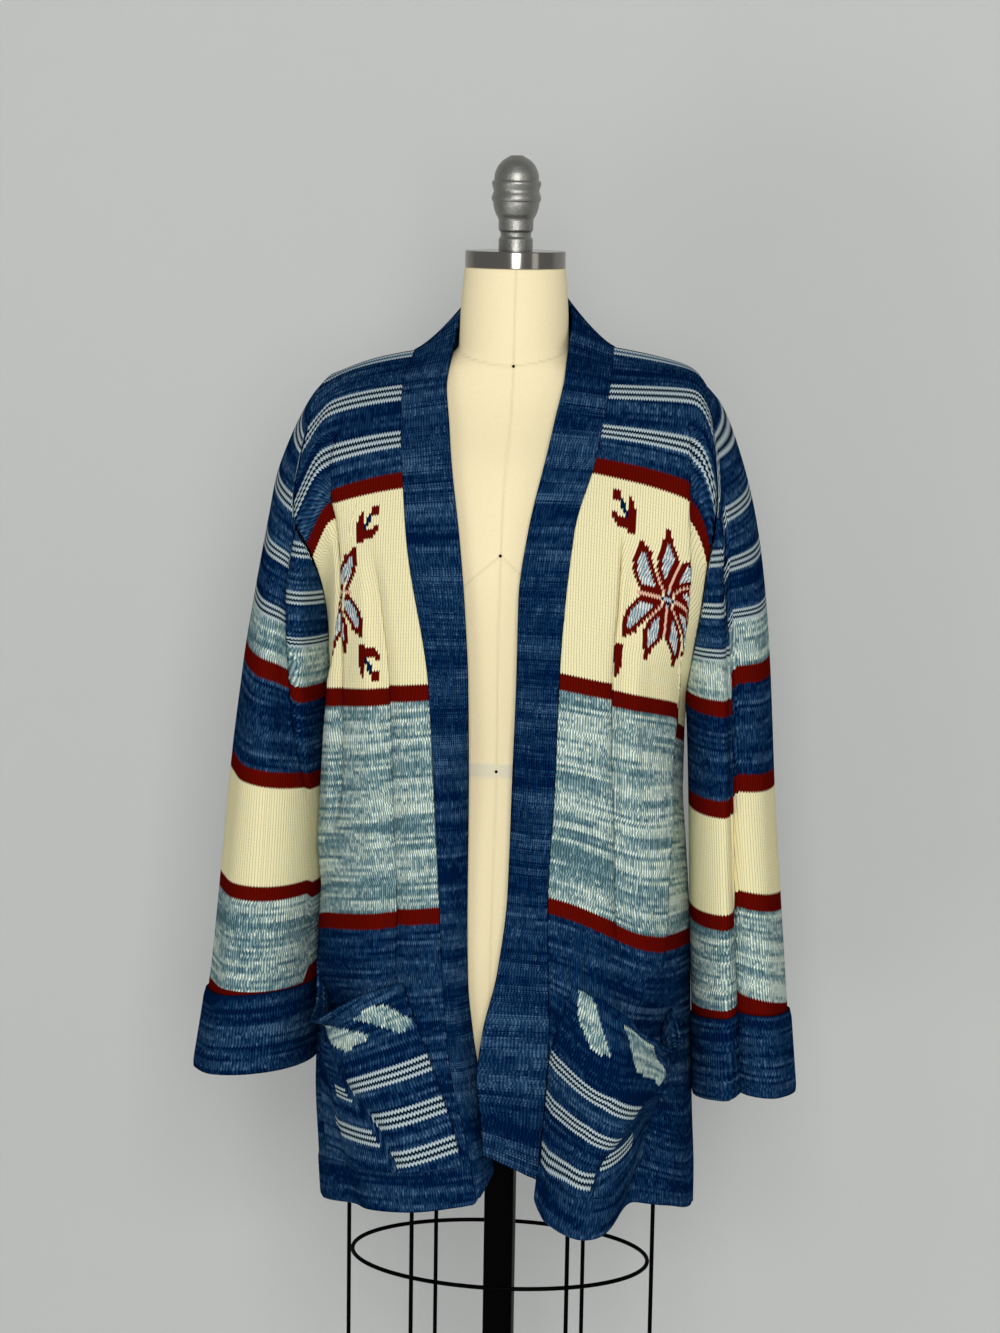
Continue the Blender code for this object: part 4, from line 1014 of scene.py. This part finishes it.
def bandRow(side, run):
    row, free = read(fronts[side], run), read(bandEdges[side], run)
    seam = np.array([signOf(side) * row["seamX"], row["seamY"], row["seamZ"]])
    edge = np.array([signOf(side) * free["x"], free["y"], row["seamZ"] + free["rise"]])
    return seam, edge, float(free["round"])


def neckRow(turn):
    seam = backTop([turn * garment["neckShare"]])[0]
    angle = math.pi / 2 * turn
    end = bandRow("left" if turn >= 0 else "right", 0.0)[1]
    share = 1 - math.cos(angle)
    edge = np.array([end[0] * abs(math.sin(angle)), between(0.0600, end[1], share),
                     between(1.482, end[2], share ** 2.2)])
    return seam, edge, 0.0


def makeBand():
    across = spread(0, 1, garment["bandWales"])
    down = {side: np.arange(length, garment["course"] / 2, -garment["course"])
            for side, length in garment["bandLength"].items()}
    stops = [bandRow("right", run) for run in down["right"]]
    stops += [neckRow(turn) for turn in np.linspace(-1, 1, 58)]
    stops += [bandRow("left", run) for run in down["left"][::-1]]
    points = np.zeros((len(stops), len(across), 3))
    for i, (seam, edge, rounding) in enumerate(stops):
        way = edge - seam
        start = seam + way / np.linalg.norm(way) * bandSeamGap
        line = start + (edge - start) * across[:, None]
        welt = 0.0011 * bump(across - 0.17, 0.09, 0.09) + 0.0006 * bump(across - 0.92, 0.07, 0.08)
        line[:, 1] -= rounding * np.sin(math.pi * across) + welt
        points[i] = line
    middle = points[:, 9]
    along = stepsAlong(middle)
    count = points.shape[:2]
    wales = np.broadcast_to(np.arange(garment["bandWales"] + 1.0), count)
    courses = np.broadcast_to((along / garment["course"])[:, None], count)
    thing = knit("front_band_knit", points, wales, courses, np.zeros(count, bool),
                 lambda w, c: rows(w, c, ((-9, "blueMarl"),), seeds["band"]), garment["bandCloth"],
                 lambda p: Vector((0, -1, 0)) if p.z < 1.42 else Vector((p.x * 0.2, 0.1, 0.3)))
    return thing, along[-1]


band, length = makeBand()
band.data.materials.append(knitted)
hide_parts("front_band")
print("band knitted", round(length, 3), "m long")

# the pockets
pockets = {
    "right": {"innerTop": 0.152, "innerFoot": 0.028, "innerBow": 0.035, "outerTop": 0.82, "outerFoot": 0.70,
              "mouthInner": 0.594, "mouthOuter": 0.597, "foot": 0.768},
    "left": {"innerTop": 0.100, "innerFoot": 0.020, "innerBow": 0.050, "outerTop": 0.68, "outerFoot": 0.48,
             "mouthInner": 0.600, "mouthOuter": 0.594, "foot": 0.772},
}
# how the lip of a pocket gapes: forward, out to the side and down, by place along the mouth
pocketLips = {
    "right": curve("place forward aside down", (0, 0, 0, 0), (0.20, 0.008, 0.000, 0.003),
                   (0.40, 0.020, 0.000, 0.011), (0.60, 0.028, 0.003, 0.0195),
                   (0.72, 0.026, 0.004, 0.0200), (0.82, 0.018, 0.002, 0.0165), (0.90, 0.010, 0.000, 0.0060),
                   (0.95, 0.005, 0.000, -0.012), (1, 0, 0, -0.026)),
    "left": curve("place forward aside down", (0, 0, 0, 0), (0.20, 0.003, 0.000, 0.001),
                  (0.40, 0.014, 0.000, 0.008), (0.60, 0.022, 0.004, 0.015),
                  (0.80, 0.026, 0.012, 0.025), (0.90, 0.022, 0.015, 0.027), (0.96, 0.013, 0.011, 0.018),
                  (1, 0, 0, 0)),
}
# rows of a pocket's cloth by course: the slope of a row from the inner edge to the fold, where the fold
# crosses it, its step down there, its slope beyond, and how far out its stripes reach
pocketRows = {
    "right": curve(
        "course slope bow fold step beyond reach",
        (-30, 0.19, 0, 0.95, 0.00, 0.00, 1.00), (0, 0.19, 0, 0.76, 0.00, -0.05, 1.00),
        (9, 0.19, 0, 0.63, 0.01, -0.12, 0.90), (22, 0.23, 0, 0.50, 0.06, -0.17, 0.64),
        (26, 0.22, 0, 0.46, 0.06, -0.16, 0.64), (36, 0.19, 0, 0.36, 0.10, -0.09, 0.80),
        (43, 0.20, 0, 0.33, 0.10, -0.10, 0.30), (80, 0.20, 0, 0.20, 0.08, -0.10, 0.30)),
    "left": curve(
        "course slope bow fold step beyond reach",
        (-30, 0.15, 0.01, 0.99, 0.00, 0.00, 1.00), (0, 0.15, 0.02, 0.95, 0.00, -0.10, 1.00),
        (14, 0.16, 0.05, 0.86, 0.01, -0.20, 0.95), (22, 0.18, 0.065, 0.66, 0.02, -0.36, 0.70),
        (35, 0.09, 0.045, 0.52, 0.00, -0.50, 0.52), (46, -0.05, 0.025, 0.42, -0.07, -0.40, 0.50),
        (52, -0.11, 0.02, 0.38, -0.10, -0.34, 0.63), (80, -0.13, 0.02, 0.34, -0.10, -0.34, 0.63)),
}
pocketPictures = {   # first courses of the stripes, and corners (place, course) of the light patches
    "right": {"stripes": (21, 34, 46),
              "patches": (((0.38, 3), (0.24, 2), (0.17, 3), (0.00, 11), (0.09, 13)),
                          ((0.77, -4), (0.60, 1), (0.25, 11), (0.42, 13), (0.66, 5)))},
    "left": {"stripes": (21, 35, 51),
             "patches": (((0.04, -3), (0.17, 0), (0.31, 9), (0.19, 10), (0.08, 5)),
                         ((0.38, 0), (0.62, -1), (0.85, 8), (0.80, 13), (0.50, 11)))},
}


def pocketDown(side, course, place):
    row = readOne(pocketRows[side], course)
    inner = course / 56
    before = inner + row["slope"] * row["fold"]
    after = before + row["step"]
    outer = after + row["beyond"] * (1 - row["fold"])
    stops = (0, row["fold"] * 0.55, row["fold"] - 0.012, row["fold"] + 0.012, 1)
    heights = (inner, between(inner, before, 0.55) - row["bow"], before, after, outer)
    return np.interp(place, stops, heights), row["fold"]


def pocketPoint(side, place, t, fold):
    size = pockets[side]
    inner = between(size["innerTop"], size["innerFoot"], t) - size["innerBow"] * math.sin(math.pi * t)
    across = between(max(inner, 0.012), between(size["outerTop"], size["outerFoot"], t), place)
    run = between(between(size["mouthInner"], size["mouthOuter"], place), size["foot"], t)
    near = np.array([across - 0.02, across, across + 0.02])
    here = frontRow(side, run, near)
    along = frontRow(side, run + 0.01, near[1:2])[0] - frontRow(side, run - 0.01, near[1:2])[0]
    out = np.cross(here[2] - here[0], along) * -signOf(side)
    out /= np.linalg.norm(out)
    lip = {key: float(value) * (1 - t) ** 3 for key, value in read(pocketLips[side], place).items()}
    lift = 0.0030 + 0.0012 * float(ease((0.035 - t) / 0.012))
    lift += 0.0045 * float(ease((t - 0.12) / 0.2) * bump(place - fold + 0.09, 0.30, 0.09))
    lift -= 0.0010 * float(bump(place - fold - 0.01, 0.02, 0.03)) * float(ease((t - 0.1) / 0.2))
    lift += 0.013 * float(bump(t, 1, 0.30) * bump(place - 0.62, 0.40, 0.38))
    return here[1] + out * lift + np.array([signOf(side) * lip["aside"], -lip["forward"], -lip["down"]])


def makePocket(side):
    columns = 66
    shares = spread(0, 1, columns)
    courses = np.arange(-26, 76)
    count = (len(courses), columns + 1)
    points, shut = np.zeros((*count, 3)), np.zeros(count, bool)
    for i, course in enumerate(courses):
        down, fold = pocketDown(side, course, shares)
        shut[i] = (down <= 0) | (down >= 1)
        for j, t in enumerate(np.clip(down, 0, 1)):
            points[i, j] = pocketPoint(side, shares[j], t, fold)
    wales = np.broadcast_to(np.arange(columns + 1.0), count)
    courses = np.broadcast_to((courses + 30.0)[:, None], count)

    def colourOf(wale, course):
        place, course = (wale + 0.5) / columns, course - 30
        colour = rows(wale, course + 30, ((-9, "blueMarl"),), seeds["pocket"][side])
        row = read(pocketRows[side], course)
        reach, fold = row["reach"], row["fold"]
        for first in pocketPictures[side]["stripes"]:
            for k in range(5):
                name = "white" if k % 2 == 0 else "ink"
                # the stripes stop short of the fold, where the dark blue marl is kept as painted shade in the
                # turned-under cloth
                seen = (course - first == k) & (place < reach) & (abs(place - fold) > 0.018)
                colour = np.where(seen, yarnNames.index(name), colour)
        for corners in pocketPictures[side]["patches"]:
            inside = np.zeros(wale.shape, bool)
            for (x0, y0), (x1, y1) in zip(corners, corners[1:] + corners[:1]):
                crosses = (y0 > course + 0.5) != (y1 > course + 0.5)
                inside ^= crosses & (place < (x1 - x0) * (course + 0.5 - y0) / (y1 - y0 + 1e-9) + x0)
            colour = np.where(inside, marl(wale, course + 30, "lightMarl", 7), colour)
        return colour

    sign = signOf(side)
    return knit("pocket_" + side + "_knit", points, wales, courses, shut, colourOf, garment["cloth"],
                lambda p: Vector((sign * 0.3, -1, 0)))


for side in ("right", "left"):
    pocket = makePocket(side)
    pocket.data.materials.append(knitted)
    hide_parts("pocket_" + side)
    print("pocket", side, "knitted")

# the form's trunk under its canvas
trunk = curve(
    "z width depth",
    (0.705, 0.1500, 0.0960), (0.780, 0.1530, 0.1010), (0.860, 0.1540, 0.1020), (0.960, 0.1380, 0.0960),
    (1.058, 0.1150, 0.0880), (1.150, 0.1280, 0.0960), (1.240, 0.1400, 0.1030), (1.290, 0.1450, 0.0950),
    (1.330, 0.1470, 0.0830), (1.370, 0.1470, 0.0620), (1.388, 0.1380, 0.0540), (1.402, 0.1160, 0.0500),
    (1.415, 0.0820, 0.0480), (1.426, 0.0570, 0.0480), (1.436, 0.0500, 0.0490), (1.466, 0.0488, 0.0488),
    (1.482, 0.0478, 0.0478), (1.505, 0.0456, 0.0456))
seams = {
    "middle": curve("z x", (1.505, 0.0064), (1.421, 0.0058), (1.256, 0.0035), (1.058, 0.0010), (0.705, 0.0000)),
    "princess": ((1.256, 0.000), (1.228, 0.032), (1.190, 0.058), (1.120, 0.066), (1.058, 0.060), (0.960, 0.070),
                 (0.840, 0.084), (0.705, 0.088)),
    "half": 0.0017, "depth": 0.0004,
}
marks = {"neck": 1.4195, "bust": 1.256, "waist": 1.058}     # heights of the trunk's seams, tape and pins


def seamDistance(x, y, z):
    # how far a point of the trunk lies from the nearest seam
    middle = read(seams["middle"], z)["x"]
    away = np.abs(x - middle)
    heights, out = zip(*seams["princess"][::-1])
    reach = np.interp(z, heights, out)
    slope = np.abs(np.gradient(reach, axis=0) / np.gradient(z, axis=0))
    beside = np.abs(np.abs(x - middle) - reach) / np.sqrt(1 + slope ** 2)
    away = np.minimum(away, np.where(z < marks["bust"], beside, 1.0))
    turn = np.arctan2(-y, x)
    neck = marks["neck"] + 0.0165 * (1 - np.abs(np.sin(turn))) ** 0.8
    return np.minimum(away, np.abs(z - neck))


def makeTrunk():
    # columns stand closer together in front, rows closer together about the neck
    turns = np.concatenate([np.linspace(-135, -45, 120, endpoint=False), np.linspace(-45, 225, 90)[:-1]])
    heights = np.concatenate([np.linspace(0.705, 1.04, 50, endpoint=False),
                              np.linspace(1.04, 1.30, 110, endpoint=False), np.linspace(1.30, 1.505, 115)])
    turn, z = np.meshgrid(np.radians(turns), heights)
    row = read(trunk, z)
    x, y = row["width"] * np.cos(turn), row["depth"] * np.sin(turn)
    groove = bump(seamDistance(x, y, z), seams["half"], seams["half"])
    tape = ease((0.0065 - np.abs(z - marks["waist"])) / 0.0008)
    out = np.stack([np.cos(turn) / row["width"], np.sin(turn) / row["depth"]])
    out /= np.linalg.norm(out, axis=0)
    lift = 0.0005 * tape - seams["depth"] * groove
    x, y = x + out[0] * lift, y + out[1] * lift
    shape = bmesh.new()
    bmesh.ops.create_grid(shape, x_segments=len(turns), y_segments=len(heights) - 1, size=0.5)
    tint = shape.verts.layers.float_color.new("tint")
    down, over = len(heights) - 1, len(turns)
    for v in shape.verts:
        i, j = round((0.5 + v.co.y) * down), round((v.co.x + 0.5) * over) % over
        v.co = (x[i, j], y[i, j], z[i, j])
        v[tint] = (float(groove[i, j]), float(tape[i, j]), 0, 1)
    bmesh.ops.remove_doubles(shape, verts=shape.verts, dist=weldDistance)
    rims = [e for e in shape.edges if len(e.link_faces) == 1]
    bmesh.ops.holes_fill(shape, edges=rims, sides=0)
    bmesh.ops.recalc_face_normals(shape, faces=shape.faces)
    for height in marks.values():
        middle = read(seams["middle"], height)["x"]
        depth = float(read(trunk, height)["depth"]) + 0.0006
        made = bmesh.ops.create_uvsphere(shape, u_segments=16, v_segments=10, radius=0.0014,
                                         matrix=Matrix.Translation((float(middle), -depth, height)))
        for f in {f for v in made["verts"] for f in v.link_faces}:
            f.material_index = 1
    return addPiece("form_torso_canvas", shape)


def plainMaterial(name, colour, metal, roughness, grain=0.0, grainSize=400.0, specular=0.5, relief=0.0):
    material = bpy.data.materials.new(name)
    material.use_nodes = True
    n = Nodes(material)
    noise = n.add("ShaderNodeTexNoise", noise_dimensions="3D")
    n.put(n.add("ShaderNodeTexCoord").outputs["Object"], noise.inputs["Vector"])
    noise.inputs["Scale"].default_value = grainSize
    noise.inputs["Detail"].default_value = 3
    shade = n.plus(n.times(noise.outputs[0], 2 * grain), 1 - grain)
    scaled = n.add("ShaderNodeVectorMath", operation="SCALE")
    scaled.inputs[0].default_value = colour
    n.put(shade, scaled.inputs["Scale"])
    n.put(scaled.outputs[0], n.shader.inputs["Base Color"])
    n.shader.inputs["Metallic"].default_value = metal
    n.shader.inputs["Roughness"].default_value = roughness
    n.shader.inputs["Specular IOR Level"].default_value = specular
    if relief:
        bumps = n.add("ShaderNodeBump")
        bumps.inputs["Strength"].default_value = 0.6
        bumps.inputs["Distance"].default_value = relief
        n.put(noise.outputs[0], bumps.inputs["Height"])
        n.put(bumps.outputs[0], n.shader.inputs["Normal"])
    return material


def canvasMaterial():
    material = plainMaterial("cotton canvas", (0.90, 0.775, 0.485), 0.0, 0.95, 0.06, 700.0, 0.05, 0.0002)
    n = Nodes(material)
    tint = n.add("ShaderNodeSeparateColor")
    n.put(n.add("ShaderNodeAttribute", attribute_name="tint").outputs[0], tint.inputs[0])
    plain = n.shader.inputs["Base Color"].links[0].from_socket
    seam = n.mix("RGBA", n.times(tint.outputs[0], 0.26), plain, (0.42, 0.32, 0.17, 1))
    n.put(n.mix("RGBA", n.times(tint.outputs[1], 0.8), seam, (0.74, 0.68, 0.52, 1)),
          n.shader.inputs["Base Color"])
    return material


def spin(name, profile, steps, foot):
    # a turned piece from its profile of (height, radius), foot first
    shape = bmesh.new()
    line = [(foot, 0.0)] + [(foot + height, radius) for height, radius in profile]
    line.append((line[-1][0], 0.0))
    bmesh.ops.create_grid(shape, x_segments=steps, y_segments=len(line) - 1, size=0.5)
    for v in shape.verts:
        i, j = round((v.co.y + 0.5) * (len(line) - 1)), round((v.co.x + 0.5) * steps) % steps
        turn = 2 * math.pi * j / steps
        v.co = (line[i][1] * math.cos(turn), line[i][1] * math.sin(turn), line[i][0])
    bmesh.ops.remove_doubles(shape, verts=shape.verts, dist=0.00001)
    bmesh.ops.recalc_face_normals(shape, faces=shape.faces)
    return addPiece(name, shape, 40)


blackSteel = plainMaterial("black painted steel", (0.0004, 0.0004, 0.0006), 0.0, 0.45, 0.10, 60.0, 0.02)
torso = makeTrunk()
torso.data.materials.append(canvasMaterial())
torso.data.materials.append(blackSteel)
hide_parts("form_torso")
print("trunk made")

capRadius, capFoot, capHeight = 0.0456, 1.5053, 0.015
capProfile = [(0.0, capRadius - 0.0004), (0.0004, capRadius), (capHeight - 0.0012, capRadius)]
capProfile += [(capHeight - 0.0012 + 0.0012 * math.sin(a), capRadius - 0.0012 * (1 - math.cos(a)))
               for a in np.radians((15, 30, 45, 60, 75, 90))]
cap = spin("neck_cap_steel", capProfile, 144, capFoot)
cap.data.materials.append(plainMaterial("polished steel", (0.255, 0.24, 0.21), 1.0, 0.14, 0.05, 90.0))
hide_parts("neck_cap")

knobProfile = curve(
    "height radius",
    (0.0000, 0.0155), (0.0095, 0.0155), (0.0128, 0.0137), (0.0160, 0.0140), (0.0182, 0.0156), (0.0266, 0.0158),
    (0.0328, 0.0186), (0.0395, 0.0206), (0.0434, 0.0211), (0.0440, 0.0219), (0.0462, 0.0224), (0.0486, 0.0219),
    (0.0528, 0.0206), (0.0572, 0.0218), (0.0594, 0.0223), (0.0614, 0.0217), (0.0622, 0.0204), (0.0675, 0.0198),
    (0.0745, 0.0171), (0.0795, 0.0130), (0.0828, 0.0079), (0.0843, 0.0054))
heights = np.unique(np.concatenate([np.linspace(0, 0.0843, 110), knobProfile["data"][:, 0]]))
knob = spin("finial_cast", list(zip(heights, read(knobProfile, heights)["radius"])), 96, 1.5206)
silver = plainMaterial("cast silver metal", (0.30, 0.295, 0.27), 1.0, 0.40, 0.22, 700.0, 0.5, 0.0006)
knob.data.materials.append(silver)
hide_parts("finial")

print("cap and finial turned")

# the stand: its pole, its foot and the wire cage
stand = {"pole": 0.028, "poleFoot": 0.0243, "poleTop": 0.7047, "corner": 0.0042, "wire": 0.002,
         "ringWidth": 0.1422, "ringDepth": 0.0865, "rings": {"upper": 0.566, "lower": 0.400},
         "wireTop": 0.7047, "wireFoot": 0.388, "wireAngles": (0.0, 59.7, 120.3, 180.0, 239.7, 300.3),
         "foot": 0.190, "footHeight": 0.024}


def makePole():
    half, corner = stand["pole"] / 2, stand["corner"]
    outline = []
    for quarter in range(4):
        for turn in np.radians(90 * quarter + np.linspace(0, 90, 9)):
            middle = math.radians(90 * quarter + 45)
            reach = (half - corner) * math.sqrt(2)
            outline.append((reach * math.cos(middle) + corner * math.cos(turn),
                            reach * math.sin(middle) + corner * math.sin(turn)))
    shape = bmesh.new()
    bmesh.ops.create_circle(shape, cap_ends=True, segments=len(outline), radius=1)
    order = sorted(shape.verts, key=lambda v: math.atan2(v.co.y, v.co.x) % (2 * math.pi))
    for v, (x, y) in zip(order, outline):
        v.co = (x, y, stand["poleFoot"])
    made = bmesh.ops.extrude_face_region(shape, geom=list(shape.faces))
    for v in made["geom"]:
        if isinstance(v, bmesh.types.BMVert):
            v.co.z = stand["poleTop"]
    bmesh.ops.recalc_face_normals(shape, faces=shape.faces)
    return addPiece("pole_tube", shape, 35)


def makeWire(name, line, closed):
    course = bpy.data.curves.new(name, "CURVE")
    course.dimensions = "3D"
    course.bevel_depth = stand["wire"]
    course.bevel_resolution = 4
    course.use_fill_caps = True
    part = course.splines.new("POLY")
    part.points.add(len(line) - 1)
    for point, spot in zip(part.points, line):
        point.co = (*spot, 1)
    part.use_cyclic_u = closed
    holder = addObject(name + "_line", course)
    shape = bmesh.new()
    shape.from_mesh(holder.to_mesh())
    holder.to_mesh_clear()
    bpy.data.objects.remove(holder)
    bpy.data.curves.remove(course)
    bmesh.ops.recalc_face_normals(shape, faces=shape.faces)
    return addPiece(name, shape, 40)


def finishStand(thing, node):
    thing.data.materials.append(blackSteel)
    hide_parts(node)


finishStand(makePole(), "pole")
footProfile = [(0.0, stand["foot"] - 0.002), (0.002, stand["foot"])]
footProfile += [(stand["footHeight"] - 0.005 + 0.005 * math.sin(a), stand["foot"] - 0.005 * (1 - math.cos(a)))
                for a in np.radians(np.arange(0, 91, 15))]
finishStand(spin("stand_foot_plate", footProfile, 128, 0.0), "stand_foot")
for level, height in stand["rings"].items():
    turns = np.linspace(0, 2 * math.pi, 160, endpoint=False)
    ring = [(stand["ringWidth"] * math.cos(a), stand["ringDepth"] * math.sin(a), height) for a in turns]
    finishStand(makeWire("cage_ring_" + level + "_steel", ring, True), "cage_ring_" + level)
for i, angle in enumerate(stand["wireAngles"]):
    turn = math.radians(angle)
    way = Vector((math.cos(turn) / stand["ringWidth"], math.sin(turn) / stand["ringDepth"])).normalized()
    clear = 2 * stand["wire"] + 0.0003
    x = stand["ringWidth"] * math.cos(turn) + way.x * clear
    y = stand["ringDepth"] * math.sin(turn) + way.y * clear
    line = [(x, y, stand["wireTop"]), (x, y, stand["wireFoot"])]
    finishStand(makeWire("cage_wire_%d_steel" % (i + 1), line, False), "cage_wire_%d" % (i + 1))
print("stand made")

# floor, backdrop and light
studio = {
    "wall": 0.62, "paper": (0.635, 0.64, 0.62), "air": 0.34,
    "lights": (   # name, place, aim, width and height, power
        ("key", (0.55, -3.5, 2.1), (0, 0, 1.1), (1.0, 1.5), 78),
        ("side", (2.5, -1.9, 1.9), (0, 0, 1.1), (0.8, 1.6), 4),
        ("low", (-1.2, -2.8, 0.5), (0, 0.4, 0.7), (1.4, 0.6), 12)),
}


def makeStudio():
    shape = bmesh.new()
    bmesh.ops.create_grid(shape, x_segments=1, y_segments=60, size=1)
    for v in shape.verts:
        along = (v.co.y + 1) * 3.6          # from the front of the floor to the top of the wall
        bend = 0.35
        back = studio["wall"] + 3.0
        if along < back - bend:
            y, z = along - 3.0, 0.0
        elif along < back - bend + bend * math.pi / 2:
            turn = (along - back + bend) / bend
            y, z = back - bend - 3.0 + bend * math.sin(turn), bend * (1 - math.cos(turn))
        else:
            y, z = back - 3.0, along - (back - bend + bend * math.pi / 2) + bend
        v.co = (v.co.x * 4, y, z - 0.0005)
    shape.normal_update()
    if sum(f.normal.z for f in shape.faces) < 0:
        bmesh.ops.reverse_faces(shape, faces=shape.faces)
    sweep = addObject("paper_sweep", meshFrom("paper_sweep", shape))
    paper = bpy.data.materials.new("paper")
    paper.use_nodes = True
    paper.node_tree.nodes["Principled BSDF"].inputs["Base Color"].default_value = (*studio["paper"], 1)
    paper.node_tree.nodes["Principled BSDF"].inputs["Roughness"].default_value = 0.95
    n = Nodes(paper)        # the sweep is left out of sight from behind, so the back of the part can be seen
    seen = n.add("ShaderNodeMixShader")
    n.put(n.add("ShaderNodeNewGeometry").outputs["Backfacing"], seen.inputs[0])
    n.put(n.shader.outputs[0], seen.inputs[1])
    n.put(n.add("ShaderNodeBsdfTransparent").outputs[0], seen.inputs[2])
    n.put(seen.outputs[0], paper.node_tree.nodes["Material Output"].inputs["Surface"])
    sweep.data.materials.append(paper)
    for name, spot, target, size, power in studio["lights"]:
        light = bpy.data.lights.new(name, "AREA")
        light.shape = "RECTANGLE"
        light.size, light.size_y = size
        light.energy = power
        lamp = addObject(name, light)
        aim = Vector(target) - Vector(spot)
        lamp.matrix_world = Matrix.Translation(spot) @ aim.to_track_quat("-Z", "Y").to_matrix().to_4x4()
    world = bpy.data.worlds.new("air")
    world.use_nodes = True
    world.node_tree.nodes["Background"].inputs[0].default_value = (0.92, 0.95, 1.0, 1)
    world.node_tree.nodes["Background"].inputs[1].default_value = studio["air"]
    bpy.context.scene.world = world
    bpy.context.scene.view_settings.view_transform = "Standard"


makeStudio()
